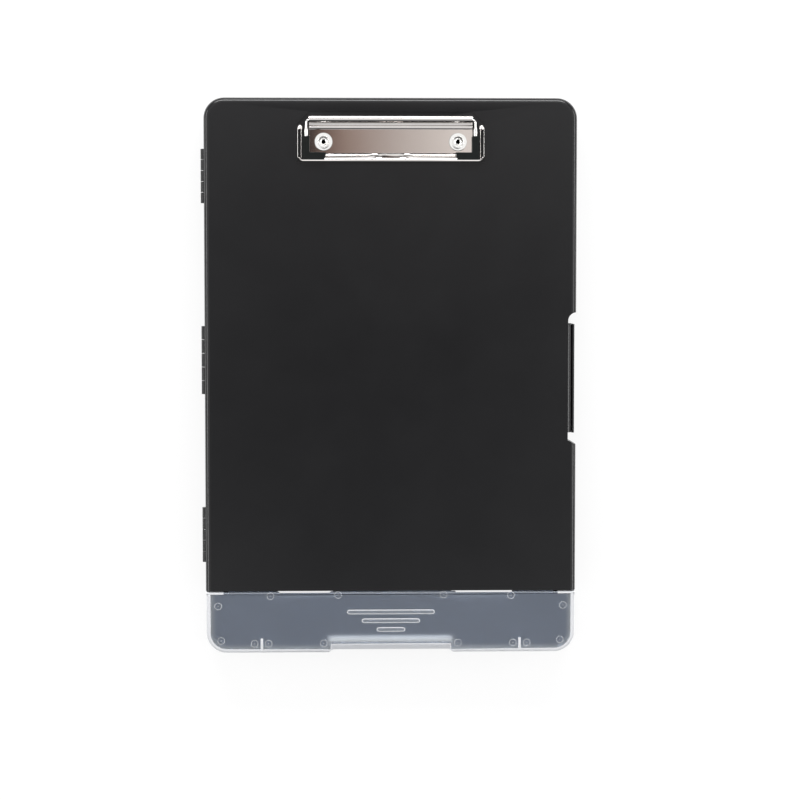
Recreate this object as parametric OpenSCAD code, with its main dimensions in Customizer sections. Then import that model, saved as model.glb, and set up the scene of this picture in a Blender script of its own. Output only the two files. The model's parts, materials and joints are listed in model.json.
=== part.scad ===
// Storage clipboard box: a shallow case with a side-hinged cover that serves as the writing board,
// a low-profile paper clip, a flip-up pen lid across the front end and a swing latch on the right.
// X is across the case, +Y points to the clip end, +Z is up. The case lies flat on z = 0.

/* [Case] */
// Overall width across the side walls
case_w = 255; // [220:1:300]
// Overall length, pen section included
case_l = 381; // [340:1:440]
// Height of the base tray
base_h = 22; // [20:0.5:40]
// Height of the cover, rim to writing face
cover_h = 7.7; // [7:0.1:14]
// Gap between the rims of the base and the cover
seam_gap = 0.3; // [0.3:0.05:0.6]
// Radius of the outer corners, seen from above
corner_r = 14; // [10:0.5:20]
// Radius along the cover's upper edge
cover_edge_r = 3.5; // [1:0.25:5]
// Radius along the base's lower edge
base_edge_r = 2; // [1:0.25:3]
// Thickness of the side walls
wall = 2.5; // [2.2:0.1:3.5]
// Thickness of the base's floor
floor_t = 2.2; // [1.5:0.1:4]
// Thickness of the cover's writing panel
panel_t = 2.5; // [2:0.1:4]

/* [Side hinges] */
// Lengths of the three hinges, clip end first
hinge_len = [36.9, 46.7, 37.8]; // [30:0.1:60]
// Distance of the first hinge's centre from the clip end of the case
hinge_rear_inset = 53.1; // [30:0.1:80]
// Shift of the middle hinge's centre from the middle of the cover, towards the pen section
hinge_middle_shift = 10; // [-20:0.5:20]
// Distance of the last hinge's centre from the cover's front edge
hinge_front_inset = 38.5; // [30:0.1:60]
// Radius of the hinge knuckles
knuckle_r = 2; // [1.8:0.05:2.2]
// Distance of the hinge axis outside the side wall
hinge_out = 0.4; // [0.3:0.05:0.6]
// Radius of the steel hinge pins
hinge_pin_r = 1; // [0.7:0.05:1.2]
// Number of knuckles in each hinge, base and cover together
knuckle_count = 5; // [3:2:7]

/* [Side latch] */
// Length of the latch plate
latch_len = 74.8; // [50:0.2:90]
// Centre of the latch along the case
latch_y = -1.2; // [-20:0.1:30]
// Thickness of the latch plate
latch_t = 1.6; // [1.2:0.1:2.2]
// Height of the latch's top edge above the bottom of the case
latch_top = 27.6; // [25:0.1:28]
// Length of the open finger gap at each end of the latch
finger_gap = 8; // [7:0.5:14]
// Depth of the recess in the side of the case
recess_depth = 5.7; // [5.5:0.1:8]
// Distance of the cover's edge behind the latch from the side of the case
latch_setback = 3.2; // [2.8:0.1:3.6]
// Gap between the cover's edge and the latch plate
latch_gap = 0.5; // [0.4:0.05:0.8]
// Radius of the latch's hinge knuckles
latch_knuckle_r = 1.6; // [1.3:0.05:1.7]
// Radius of the latch's hinge pin
latch_pin_r = 0.7; // [0.5:0.05:0.9]
// Height of the latch's hinge axis
latch_axis_z = 4; // [3.2:0.1:6]
// Length of the catch ridge and of the bead that snaps past it
catch_len = 40; // [20:1:46]
// Height of the catch ridge and of the bead
catch_h = 0.2; // [0.1:0.05:0.2]

/* [Pen lid] */
// Length of the pen section along the case
pen_l = 43; // [36:0.5:60]
// Gap between the pen lid and the cover's front edge
lid_gap = 0.5; // [0.45:0.05:1]
// Drop of the pen lid's face below the writing face
lid_drop = 0.4; // [0.2:0.1:1]
// Distance of the pen lid's sides from the sides of the case
lid_side = 0.5; // [0.3:0.1:1.5]
// Thickness of the pen lid's panel
lid_t = 2; // [1.5:0.1:2.5]
// Thickness of the pen lid's skirt
lid_wall = 2; // [1.5:0.1:2.5]
// Height of the skirt's lower edge above the bottom of the case
skirt_z = 3.5; // [2.5:0.5:12]
// Radius along the pen lid's upper edge
lid_edge_r = 2; // [1:0.25:3]
// Gap between the pen lid's skirt and the walls of the base inside it
lid_fit = 0.6; // [0.4:0.05:1]
// Radius of the rolled rear edge that the pen lid turns about
lid_barrel_r = 1.6; // [1.5:0.05:1.9]
// Radius of the pen lid's hinge pins
lid_pin_r = 0.5; // [0.4:0.05:0.6]
// Length of the solid hinge lug at each rear corner of the pen lid
lug_len = 11.7; // [8:0.1:20]
// Thickness of the upright ear on the base that holds each pin
ear_t = 2.5; // [2:0.1:4]
// Radius of the ears' round upper ends, inside the rolled edge
ear_r = 1.05; // [1:0.05:1.1]
// Distance of each rear window's near end from the middle of the case, left window first
window_in = [40, 43]; // [30:1:50]
// Length of each rear window, left window first
window_len = [39, 43]; // [20:1:50]
// Depth of the rear windows in the pen lid's edge
window_depth = 1.3; // [0.8:0.1:1.5]
// Slant of the ends of the rear windows
window_slant = 2.5; // [0:0.5:4]
// Width of the windows' slots through the floor below them
floor_slot = 6; // [4.5:0.5:10]
// Depth of the finger notch in the pen lid's front edge
notch_depth = 2.4; // [1:0.1:4]
// Length of the finger notch along its bottom, to the slanted ends
notch_len = 80.6; // [50:0.2:100]
// Run of the finger notch's slanted ends
notch_run = 2.9; // [2:0.1:6]
// Radius between the finger notch's bottom and its slanted ends
notch_corner_r = 3.8; // [1:0.1:5]
// Depth of the scoop in the base's front wall, behind the finger notch
scoop_depth = 7; // [4:0.5:10]
// Lengths of the grip ribs, rear one first
grip_rib_len = [59.3, 38.9, 18.5]; // [10:0.5:80]
// Distance of the first grip rib from the pen lid's rear edge
grip_rib_start = 14.3; // [10:0.1:18]
// Spacing of the grip ribs
grip_rib_step = 6.1; // [4:0.1:7]
// Width of the grip ribs
grip_rib_w = 2.7; // [1.5:0.1:3.5]
// Height of the grip ribs
grip_rib_h = 0.35; // [0.2:0.05:0.4]
// Distance of each stiffening rib of the pen lid from the middle of the case
stiff_rib_x = 89; // [82:1:100]
// Length of the stiffening ribs, from the inside of the skirt
stiff_rib_len = 8.5; // [5:0.5:14]
// Thickness of the stiffening ribs
stiff_rib_t = 1.8; // [1.2:0.1:2.5]

/* [Pen compartment] */
// Height of the base's walls round the pen compartment
pen_wall_h = 16; // [10:0.5:18]
// Thickness of the base's walls round the pen compartment
pen_wall = 2.2; // [1.5:0.1:3]

/* [Clip] */
// Distance of the clip's roll axis from the clip end of the case
clip_back = 14.8; // [12.5:0.1:20]
// Width of the clip's plate
plate_w = 111.4; // [90:0.2:120]
// Distance from the roll's axis to the plate's front edge
plate_reach = 23; // [22:0.1:23.5]
// Thickness of the plate
plate_t = 1; // [0.8:0.05:1.2]
// Outer radius of the roll along the plate's rear edge
roll_r = 2.3; // [2.2:0.05:2.6]
// Radius of the plate's stiffening bead
bead_r = 1.1; // [0.6:0.05:1.3]
// Distance of the bead in front of the roll's axis
bead_y = 3.1; // [2.8:0.1:4]
// Radius of the spring wire
wire_r = 0.8; // [0.6:0.05:0.9]
// Distance of the wire in front of the roll's axis
wire_offset = 0.7; // [0.3:0.05:0.8]
// Radius of the wire's bends, at its centre line
wire_bend_r = 1.8; // [1.5:0.05:1.8]
// Radius of the sleeve on each arm of the wire
sleeve_r = 1.25; // [1.1:0.05:1.3]
// Length of the sleeves that shows behind the corner grips
sleeve_show = 5.2; // [2:0.1:6]
// Distance the jaw reaches past the plate on each side
jaw_side = 7.8; // [7.6:0.1:9]
// Distance from the roll's axis to the jaw's front edge
jaw_reach = 28.6; // [28.3:0.1:32.5]
// Thickness of the jaw's sheet
jaw_t = 1; // [0.8:0.05:1.2]
// Height of the jaw above the floor of the clip's pocket
jaw_lift = 0.25; // [0.25:0.05:0.5]
// Radius of the rolled lip along the jaw's front edge
lip_r = 1; // [0.8:0.05:1.2]
// Radius of the jaw's front corners
jaw_corner_r = 3.5; // [2:0.1:5]
// Width of the folded ear at each side of the jaw
jaw_ear_w = 3.4; // [3:0.1:3.6]
// Height of the folded ears
jaw_ear_h = 3.8; // [3:0.1:4.5]
// Distance of the ears' rear ends in front of the roll's axis
jaw_ear_stop = 3.8; // [3.5:0.1:7.5]
// Half-width of the thumb tab
tab_half = 15.7; // [10:0.1:25]
// Half-width of the thumb tab's raised middle
tab_flat = 5.8; // [3:0.1:9]
// Height of the thumb tab
tab_h = 1.8; // [1:0.1:3]
// Width of each arm of the corner grips
grip_w = 4.8; // [4.6:0.1:5]
// Thickness of the corner grips over the sleeves
grip_skin = 0.8; // [0.5:0.1:1.5]
// Length of the corner grips along the jaw's side
grip_side_len = 15.8; // [10:0.1:17]
// Length of the corner grips along the jaw's front
grip_front_len = 16; // [10:0.1:20]
// Depth of the clip's pocket in the cover
pocket_depth = 0.6; // [0.3:0.1:0.8]
// Gap between the jaw and the edge of the clip's pocket
pocket_gap = 0.7; // [0.4:0.1:2]
// Gap between the roll and the rear edge of the clip's pocket
pocket_rear_gap = 2.9; // [0.4:0.1:4]
// Cut across the pocket's rear corners, measured along the side
pocket_chamfer = 8.5; // [5:0.1:9]

/* [Rivets] */
// Distance of each rivet from the side edge of the plate
rivet_inset = 9.9; // [9.8:0.1:20]
// Distance of the rivets in front of the roll's axis
rivet_y = 15.3; // [13.5:0.1:15.5]
// Radius of the rivets' domed flange
flange_r = 6.2; // [5:0.1:6.4]
// Height of the rivets' domed flange
flange_h = 1.1; // [0.8:0.1:1.4]
// Radius of the rivets' shank
shank_r = 1.9; // [1.8:0.1:3]
// Radius of the raised rim round each rivet's hole
rivet_rim_r = 2.4; // [1.8:0.1:3]
// Radius of the hole through the rivets
rivet_hole_r = 1.4; // [0.8:0.1:1.6]
// Radius of the washers inside the cover
washer_r = 6; // [5:0.5:8]
// Thickness of the washers
washer_t = 0.8; // [0.5:0.1:1.2]

/* [Fits] */
// Radial clearance of a pin in the piece that turns on it
pin_fit = 0.05; // [0.02:0.01:0.08]
// Clearance between pieces that move past each other
clear = 0.3; // [0.3:0.05:0.5]

/* [Hidden] */
$fn = 48;

// An overshoot that keeps cuts clear of the faces they pass through
over = 1;

// Levels and ends of the case
rim_z = base_h + seam_gap;
case_top = rim_z + cover_h;
rear_y = case_l / 2;
front_y = -case_l / 2;
cover_front_y = front_y + pen_l;
main_l = rear_y - cover_front_y;
side_x = case_w / 2;

// Axis of the side hinges
hinge_x = -side_x - hinge_out;
hinge_z = base_h + seam_gap / 2;
hinge_y = [
    rear_y - hinge_rear_inset,
    (rear_y + cover_front_y) / 2 - hinge_middle_shift,
    cover_front_y + hinge_front_inset
];

// Side recess and latch
recess_x = side_x - recess_depth;
land_x = side_x - latch_setback;
latch_in_x = land_x + latch_gap;
latch_axis_x = recess_x + clear + latch_knuckle_r;
recess_len = latch_len + 2 * finger_gap;
recess_y0 = latch_y - recess_len / 2;
recess_y1 = latch_y + recess_len / 2;
latch_foot_z = latch_axis_z + latch_knuckle_r + clear;
catch_z = rim_z + cover_h / 3;

// Pen lid
lid_half = side_x - lid_side;
lid_rear_y = cover_front_y - lid_gap;
lid_top = case_top - lid_drop;
lid_axis_y = lid_rear_y - lid_barrel_r;
lid_axis_z = lid_top - lid_barrel_r;
lid_l = lid_rear_y - front_y;
pen_half = lid_half - lid_wall - lid_fit;
pen_front_y = front_y + lid_wall + lid_fit;
pen_corner_r = corner_r - lid_wall - lid_fit;
ear_x = lid_half - lug_len - clear;
ear_room_r = ear_r + 2 * pin_fit;

// Clip
roll_y = rear_y - clip_back;
face_z = case_top - pocket_depth;
roll_z = face_z + roll_r;
plate_top = face_z + plate_t;
plate_front_y = roll_y - plate_reach;
rivet_x = plate_w / 2 - rivet_inset;
jaw_half = plate_w / 2 + jaw_side;
jaw_z = face_z + jaw_lift;
jaw_top = jaw_z + jaw_t;
jaw_front_y = roll_y - jaw_reach;
bar_rear_y = plate_front_y - 2 * clear;
jaw_leg_x = plate_w / 2 + 2 * clear;
wire_x = jaw_half - jaw_ear_w - grip_w / 2;
wire_y = roll_y - wire_offset;
wire_z = jaw_top + clear / 2 + sleeve_r;
wire_front_y = jaw_front_y + lip_r + clear + grip_w / 2;
grip_rear_y = wire_front_y - grip_w / 2 + grip_side_len;
sleeve_rear_y = grip_rear_y + sleeve_show;
pocket_half = jaw_half + pocket_gap;
pocket_rear_y = roll_y + roll_r + pocket_rear_gap;
pocket_front_y = jaw_front_y - pocket_gap;

// Outline of a tongue w wide and l long: square at y = 0, with two round corners at y = l
module tongue(w, l, r) {
    translate([-w / 2, 0])
        square([w, l - r]);
    translate([-w / 2 + r, 0])
        square([w - 2 * r, l]);
    for (side = [-1, 1])
        translate([side * (w / 2 - r), l - r])
            circle(r);
}

// A tongue h high whose upper edge is rounded by e along both sides and the round end
module soft_tongue(w, l, r, h, e) {
    linear_extrude(h - e)
        tongue(w, l, r);
    linear_extrude(h)
        tongue(w - 2 * e, l - e, r - e);
    for (side = [-1, 1]) {
        translate([side * (w / 2 - e), 0, h - e])
            rotate([-90, 0, 0])
                cylinder(r = e, h = l - r);
        translate([side * (w / 2 - r), l - r, h - e])
            rotate_extrude()
                rounded_step(r, e);
    }
    translate([r - w / 2, l - e, h - e])
        rotate([0, 90, 0])
            cylinder(r = e, h = w - 2 * r);
}

// Half section of a disc of radius r and thickness e with its upper rim rounded by e
module rounded_step(r, e) {
    square([r - e, e]);
    translate([r - e, 0])
        intersection() {
            circle(e);
            square(e);
        }
}

// Plan of the recess in the right side of the case, widened by grow: a round end towards the
// clip, and a slanted end towards the pen section
module recess_plan(grow = 0) {
    slope = 0.5;
    shift = grow * sqrt(1 + slope * slope);
    in_x = recess_x - grow;
    out_x = side_x + over;
    foot_y = recess_y0 + slope * recess_depth;
    polygon([
        [in_x, recess_y1 - recess_depth],
        [in_x, foot_y - shift + slope * grow],
        [out_x, recess_y0 - shift - slope * over],
        [out_x, recess_y1 - recess_depth]
    ]);
    translate([side_x, recess_y1 - recess_depth])
        circle(recess_depth + grow);
}

// A row of hinge knuckles along +Y, centred on y = 0: those numbered even, or those numbered odd
module knuckle_row(len, count, r, first, gap, grow = 0) {
    piece = (len - (count - 1) * gap) / count;
    for (i = [first : 2 : count - 1])
        translate([0, -len / 2 + i * (piece + gap) - grow, 0])
            rotate([-90, 0, 0])
                cylinder(r = r, h = piece + 2 * grow);
}

// The knuckles of the three side hinges
module side_knuckles(first, r, grow = 0) {
    for (i = [0 : len(hinge_y) - 1])
        translate([hinge_x, hinge_y[i], hinge_z])
            knuckle_row(hinge_len[i], knuckle_count, r, first, clear, grow);
}

// A straight bore along all three side hinges
module side_hinge_bores(first, r) {
    side_knuckles(first, r, clear / 2);
}

// Round bar along +Y from y0 to y1
module y_bar(x, y0, y1, z, r) {
    translate([x, y0, z])
        rotate([-90, 0, 0])
            cylinder(r = r, h = y1 - y0);
}

// Round bar along X, centred on the case
module x_bar(half, y, z, r) {
    translate([-half, y, z])
        rotate([0, 90, 0])
            cylinder(r = r, h = 2 * half);
}

// Middle of the left (0) or right (1) window in the pen lid's rear edge
function window_mid(i) = (2 * i - 1) * (window_in[i] + window_len[i] / 2);

// Base: a tray for papers, a partition at its front, and the pen compartment before it

module base_shape() {
    translate([0, cover_front_y, base_h])
        mirror([0, 0, 1])
            soft_tongue(case_w, main_l, corner_r, base_h, base_edge_r);
    translate([0, cover_front_y + over, pen_wall_h])
        rotate([180, 0, 0])
            soft_tongue(2 * pen_half, cover_front_y + over - pen_front_y, pen_corner_r, pen_wall_h, base_edge_r);
}

module paper_hollow() {
    translate([0, cover_front_y + wall, 0])
        linear_extrude(case_top - panel_t)
            difference() {
                tongue(case_w - 2 * wall, main_l - 2 * wall, corner_r - wall);
                translate([0, -cover_front_y - wall])
                    recess_plan(wall);
            }
}

module pen_hollow() {
    inner_half = pen_half - pen_wall;
    scoop_half = notch_len / 2 + notch_run;
    translate([0, 0, floor_t])
        linear_extrude(base_h)
            difference() {
                translate([0, cover_front_y])
                    mirror([0, 1])
                        tongue(2 * inner_half, cover_front_y - pen_front_y - pen_wall, pen_corner_r - pen_wall);
                translate([-scoop_half - pen_wall, pen_front_y - over])
                    square([2 * (scoop_half + pen_wall), scoop_depth + pen_wall + over]);
            }
}

module front_scoop() {
    scoop_half = notch_len / 2 + notch_run;
    translate([-scoop_half, pen_front_y - over, -over])
        cube([2 * scoop_half, scoop_depth + over, base_h]);
}

// Upright ear that holds one pen lid pin, rounded about the pin
module pin_ear(side) {
    x0 = side > 0 ? ear_x - ear_t : -ear_x;
    translate([x0, lid_axis_y - ear_r, floor_t - over])
        cube([ear_t, 2 * ear_r, lid_axis_z - floor_t + over]);
    translate([x0, lid_axis_y, floor_t - over])
        cube([ear_t, cover_front_y + over - lid_axis_y, base_h - floor_t + over]);
    translate([x0, lid_axis_y, lid_axis_z])
        rotate([0, 90, 0])
            cylinder(r = ear_r, h = ear_t);
}

// Lugs on the base between the latch's knuckles
module latch_lugs() {
    translate([latch_axis_x, latch_y, latch_axis_z])
        knuckle_row(latch_len, knuckle_count, latch_knuckle_r, 1, clear);
    piece = (latch_len - (knuckle_count - 1) * clear) / knuckle_count;
    for (i = [1 : 2 : knuckle_count - 1])
        translate([
            recess_x - wall / 2,
            latch_y - latch_len / 2 + i * (piece + clear),
            latch_axis_z - latch_knuckle_r
        ])
            cube([latch_axis_x - recess_x + wall / 2, piece, 2 * latch_knuckle_r]);
}

module base_tray() {
    color([0.16, 0.16, 0.17])
        difference() {
            union() {
                difference() {
                    base_shape();
                    translate([0, 0, floor_t])
                        paper_hollow();
                    pen_hollow();
                    front_scoop();
                    translate([0, 0, -over])
                        linear_extrude(case_top)
                            recess_plan();
                    side_knuckles(1, knuckle_r + clear, clear);
                }
                side_knuckles(0, knuckle_r);
                latch_lugs();
                for (side = [-1, 1])
                    pin_ear(side);
            }
            side_hinge_bores(0, hinge_pin_r);
            y_bar(latch_axis_x, latch_y - latch_len / 2, latch_y + latch_len / 2, latch_axis_z, latch_pin_r);
            x_bar(lid_half, lid_axis_y, lid_axis_z, lid_pin_r);
            for (i = [0, 1])
                translate([window_mid(i), lid_rear_y - floor_slot / 2, floor_t / 2])
                    cube([window_len[i], floor_slot, floor_t + 2 * over], center = true);
        }
}

// Cover: the writing board with its rim, the clip's pocket and the catch for the latch

// Cross-section of the edge behind the latch, drawn out along the case
module catch_land() {
    land = land_x - recess_x + wall;
    len = latch_len - 2 * clear;
    translate([recess_x - wall, latch_y + len / 2, rim_z])
        rotate([90, 0, 0])
            linear_extrude(len)
                intersection() {
                    square([land, cover_h]);
                    union() {
                        square([land, cover_h - cover_edge_r]);
                        square([land - cover_edge_r, cover_h]);
                        translate([land - cover_edge_r, cover_h - cover_edge_r])
                            circle(cover_edge_r);
                    }
                }
}

module pocket_plan() {
    polygon([
        [-pocket_half, pocket_front_y],
        [pocket_half, pocket_front_y],
        [pocket_half, pocket_rear_y - pocket_chamfer],
        [pocket_half - pocket_chamfer, pocket_rear_y],
        [-pocket_half + pocket_chamfer, pocket_rear_y],
        [-pocket_half, pocket_rear_y - pocket_chamfer]
    ]);
}

module cover_board() {
    color([0.16, 0.16, 0.17])
        difference() {
            union() {
                difference() {
                    translate([0, cover_front_y, rim_z])
                        soft_tongue(case_w, main_l, corner_r, cover_h, cover_edge_r);
                    paper_hollow();
                    translate([0, 0, rim_z - over])
                        linear_extrude(cover_h + 2 * over)
                            recess_plan();
                    side_knuckles(0, knuckle_r + clear, clear);
                }
                side_knuckles(1, knuckle_r);
                catch_land();
                y_bar(land_x - catch_h, latch_y - catch_len / 2, latch_y + catch_len / 2, catch_z, 2 * catch_h);
            }
            side_hinge_bores(1, hinge_pin_r + pin_fit);
            translate([0, 0, face_z])
                linear_extrude(pocket_depth + over)
                    pocket_plan();
            for (side = [-1, 1])
                translate([side * rivet_x, roll_y - rivet_y, case_top - panel_t - over])
                    cylinder(r = shank_r, h = panel_t + 2 * over);
        }
}

// Steel pins of the side hinges

module hinge_pin(i) {
    color("silver")
        y_bar(hinge_x, hinge_y[i] - hinge_len[i] / 2, hinge_y[i] + hinge_len[i] / 2, hinge_z, hinge_pin_r);
}

// Pen lid: a see-through panel with a skirt, turning about its rolled rear edge

// Plan of the finger notch, widened by grow: round corners between its bottom and its slanted ends
module notch_plan(grow = 0) {
    slope = atan(notch_depth / notch_run);
    r = notch_corner_r + grow;
    round_x = notch_len / 2 - notch_corner_r * tan(slope / 2);
    round_y = front_y + notch_depth - notch_corner_r;
    bend_x = round_x + r * sin(slope);
    bend_y = round_y + r * cos(slope);
    flare = notch_len / 2 + notch_run + grow / sin(slope);
    polygon([
        [-flare, front_y - over],
        [-flare, front_y],
        [-bend_x, bend_y],
        [-round_x, round_y + r],
        [round_x, round_y + r],
        [bend_x, bend_y],
        [flare, front_y],
        [flare, front_y - over]
    ]);
    for (side = [-1, 1])
        translate([side * round_x, round_y])
            circle(r);
}

module lid_hollow() {
    translate([0, 0, -over])
        linear_extrude(lid_top - lid_t + over)
            difference() {
                translate([0, lid_rear_y + over])
                    mirror([0, 1])
                        tongue(2 * (lid_half - lid_wall), lid_l - lid_wall + over, corner_r - lid_wall);
                notch_plan(lid_wall);
            }
}

module grip_rib(i) {
    half = grip_rib_len[i] / 2;
    w = grip_rib_w;
    translate([0, lid_rear_y - grip_rib_start - i * grip_rib_step, lid_top - lid_t / 2])
        linear_extrude(lid_t / 2 + grip_rib_h) {
            square([2 * half - w, w], center = true);
            for (side = [-1, 1])
                translate([side * (half - w / 2), 0])
                    circle(w / 2);
        }
}

module stiff_rib(side) {
    foot_z = pen_wall_h + 1;
    translate([side * stiff_rib_x - stiff_rib_t / 2, front_y + lid_wall / 2, foot_z])
        cube([stiff_rib_t, lid_wall / 2 + stiff_rib_len, lid_top - lid_t / 2 - foot_z]);
}

module rear_window(i) {
    half = window_len[i] / 2;
    edge_y = lid_rear_y + over;
    deep_y = lid_rear_y - window_depth;
    translate([window_mid(i), 0, -over])
        linear_extrude(case_top + 2 * over)
            polygon([
                [-half, edge_y],
                [half, edge_y],
                [half - window_slant, deep_y],
                [window_slant - half, deep_y]
            ]);
}

// Rear end of the skirt, below the rolled edge
module skirt_end(side) {
    translate([side > 0 ? lid_half - lid_wall : -lid_half, lid_axis_y, skirt_z])
        cube([lid_wall, lid_barrel_r, lid_axis_z - skirt_z]);
}

// Room inside the pen lid's rolled edge for one ear of the base, open below and behind
module ear_gap(side) {
    x0 = side > 0 ? ear_x - ear_t - clear : -ear_x - clear;
    foot_z = lid_axis_z - lid_barrel_r - over;
    translate([x0, lid_axis_y - ear_room_r, foot_z])
        cube([ear_t + 2 * clear, ear_room_r + lid_barrel_r + over, lid_axis_z + ear_room_r - foot_z]);
}

module pen_lid() {
    color([0.72, 0.76, 0.82, 0.6])
        difference() {
            union() {
                difference() {
                    translate([0, lid_axis_y, skirt_z])
                        mirror([0, 1, 0])
                            soft_tongue(2 * lid_half, lid_axis_y - front_y, corner_r, lid_top - skirt_z, lid_edge_r);
                    lid_hollow();
                    translate([0, 0, -over])
                        linear_extrude(case_top + 2 * over)
                            notch_plan();
                }
                x_bar(lid_half, lid_axis_y, lid_axis_z, lid_barrel_r);
                for (side = [-1, 1])
                    skirt_end(side);
                for (i = [0 : len(grip_rib_len) - 1])
                    grip_rib(i);
                for (side = [-1, 1])
                    stiff_rib(side);
            }
            for (i = [0, 1])
                rear_window(i);
            for (side = [-1, 1])
                ear_gap(side);
            x_bar(lid_half + over, lid_axis_y, lid_axis_z, lid_pin_r + pin_fit);
        }
}

module pen_lid_pin(side) {
    x0 = side > 0 ? ear_x - ear_t : -lid_half;
    color("silver")
        translate([x0, lid_axis_y, lid_axis_z])
            rotate([0, 90, 0])
                cylinder(r = lid_pin_r, h = lid_half - ear_x + ear_t);
}

// Side latch: a plate that swings out on a pin low on the base

module side_latch() {
    y0 = latch_y - latch_len / 2;
    piece = (latch_len - (knuckle_count - 1) * clear) / knuckle_count;
    tip = latch_t;
    color([0.16, 0.16, 0.17])
        difference() {
            union() {
                translate([latch_in_x, y0, latch_foot_z])
                    cube([latch_t, latch_len, latch_top - latch_foot_z - tip / 2]);
                y_bar(latch_in_x + latch_t / 2, y0, y0 + latch_len, latch_top - tip / 2, tip / 2);
                for (i = [0 : 2 : knuckle_count - 1])
                    translate([latch_in_x, y0 + i * (piece + clear), latch_axis_z - latch_knuckle_r / 2])
                        cube([latch_t, piece, latch_foot_z - latch_axis_z + latch_knuckle_r]);
                translate([latch_axis_x, latch_y, latch_axis_z])
                    knuckle_row(latch_len, knuckle_count, latch_knuckle_r, 0, clear);
                y_bar(
                    latch_in_x + catch_h, latch_y - catch_len / 2, latch_y + catch_len / 2,
                    catch_z + 6 * catch_h, 2 * catch_h
                );
            }
            y_bar(latch_axis_x, y0 - over, y0 + latch_len + over, latch_axis_z, latch_pin_r + pin_fit);
        }
}

module latch_pin() {
    color("silver")
        y_bar(latch_axis_x, latch_y - latch_len / 2, latch_y + latch_len / 2, latch_axis_z, latch_pin_r);
}

// Clip: a riveted plate whose rear edge is rolled about the spring wire, and a jaw on the wire

module clip_plate() {
    half = plate_w / 2;
    color("gainsboro")
        difference() {
            union() {
                translate([-half, plate_front_y, face_z])
                    cube([plate_w, roll_y - plate_front_y, plate_t]);
                x_bar(half, roll_y, roll_z, roll_r);
                intersection() {
                    x_bar(half, roll_y - bead_y, plate_top, bead_r);
                    translate([-half, plate_front_y, face_z])
                        cube([plate_w, plate_reach, 2 * roll_r]);
                }
            }
            x_bar(half + over, wire_y, wire_z, wire_r + pin_fit);
            for (side = [-1, 1])
                translate([side * rivet_x, roll_y - rivet_y, face_z - over])
                    cylinder(r = shank_r, h = plate_t + 2 * over);
        }
}

// One folded ear of the jaw, with a rounded top and a round rear end
module jaw_ear(side) {
    x0 = side > 0 ? jaw_half - jaw_ear_w : -jaw_half;
    r = jaw_ear_w / 2;
    rear = roll_y - jaw_ear_stop;
    intersection() {
        translate([0, 0, jaw_z])
            linear_extrude(jaw_ear_h) {
                translate([x0, jaw_front_y + jaw_corner_r])
                    square([jaw_ear_w, rear - r - jaw_front_y - jaw_corner_r]);
                translate([x0 + r, rear - r])
                    circle(r);
            }
        union() {
            translate([x0, jaw_front_y, jaw_z])
                cube([jaw_ear_w, jaw_reach, jaw_ear_h - r]);
            y_bar(x0 + r, jaw_front_y, rear, jaw_z + jaw_ear_h - r, r);
        }
    }
}

module thumb_tab() {
    deep = bar_rear_y - jaw_front_y - lip_r;
    scoop_r = 3 * tab_h;
    difference() {
        translate([0, jaw_front_y + lip_r, jaw_z + jaw_t / 2])
            linear_extrude(tab_h + jaw_t / 2)
                polygon([
                    [-tab_half, 0], [tab_half, 0], [tab_half, deep / 4],
                    [tab_flat, deep], [-tab_flat, deep], [-tab_half, deep / 4]
                ]);
        x_bar(tab_half + over, bar_rear_y, jaw_top + tab_h / 3 + scoop_r, scoop_r);
    }
}

// Flat plan of the jaw: the front bar and the two side legs under the wire
module jaw_plan() {
    r = jaw_corner_r;
    difference() {
        union() {
            translate([-jaw_half + r, jaw_front_y])
                square([2 * (jaw_half - r), roll_y - jaw_front_y]);
            translate([-jaw_half, jaw_front_y + r])
                square([2 * jaw_half, grip_rear_y - jaw_front_y - r]);
            for (side = [-1, 1])
                translate([side * (jaw_half - r), jaw_front_y + r])
                    circle(r);
        }
        translate([-jaw_leg_x, bar_rear_y])
            square([2 * jaw_leg_x, jaw_reach + over]);
        translate([-jaw_half - over, grip_rear_y])
            square([2 * jaw_half + 2 * over, jaw_reach]);
    }
}

module clip_jaw() {
    color("gainsboro") {
        difference() {
            union() {
                translate([0, 0, jaw_z])
                    linear_extrude(jaw_t)
                        jaw_plan();
                x_bar(jaw_half - jaw_corner_r, jaw_front_y + lip_r, jaw_z + lip_r, lip_r);
                thumb_tab();
                for (side = [-1, 1])
                    jaw_ear(side);
            }
            for (side = [-1, 1])
                grip_body(side);
        }
    }
}

// The wire runs through the roll, turns forward beside the plate, where a sleeve is crimped on each
// arm, and ends inside the corner grips
module clip_wire() {
    b = wire_bend_r;
    tip_x = wire_x + grip_w / 2 - grip_front_len + grip_skin;
    color("silver") {
        x_bar(wire_x - b, wire_y, wire_z, wire_r);
        for (side = [-1, 1]) {
            translate([side * (wire_x - b), wire_y - b, wire_z])
                quarter_bend(side > 0 ? 0 : 90);
            y_bar(side * wire_x, wire_front_y + b, wire_y - b, wire_z, wire_r);
            y_bar(side * wire_x, wire_front_y + b, sleeve_rear_y, wire_z, sleeve_r);
            translate([side * (wire_x - b), wire_front_y + b, wire_z])
                quarter_bend(side > 0 ? 270 : 180);
            translate([side > 0 ? tip_x : b - wire_x, wire_front_y, wire_z])
                rotate([0, 90, 0])
                    cylinder(r = wire_r, h = wire_x - b - tip_x);
        }
    }
}

// A quarter ring of wire, starting at the given angle about Z
module quarter_bend(start) {
    rotate([0, 0, start])
        rotate_extrude(angle = 90)
            translate([wire_bend_r, 0])
                circle(wire_r);
}

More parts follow.
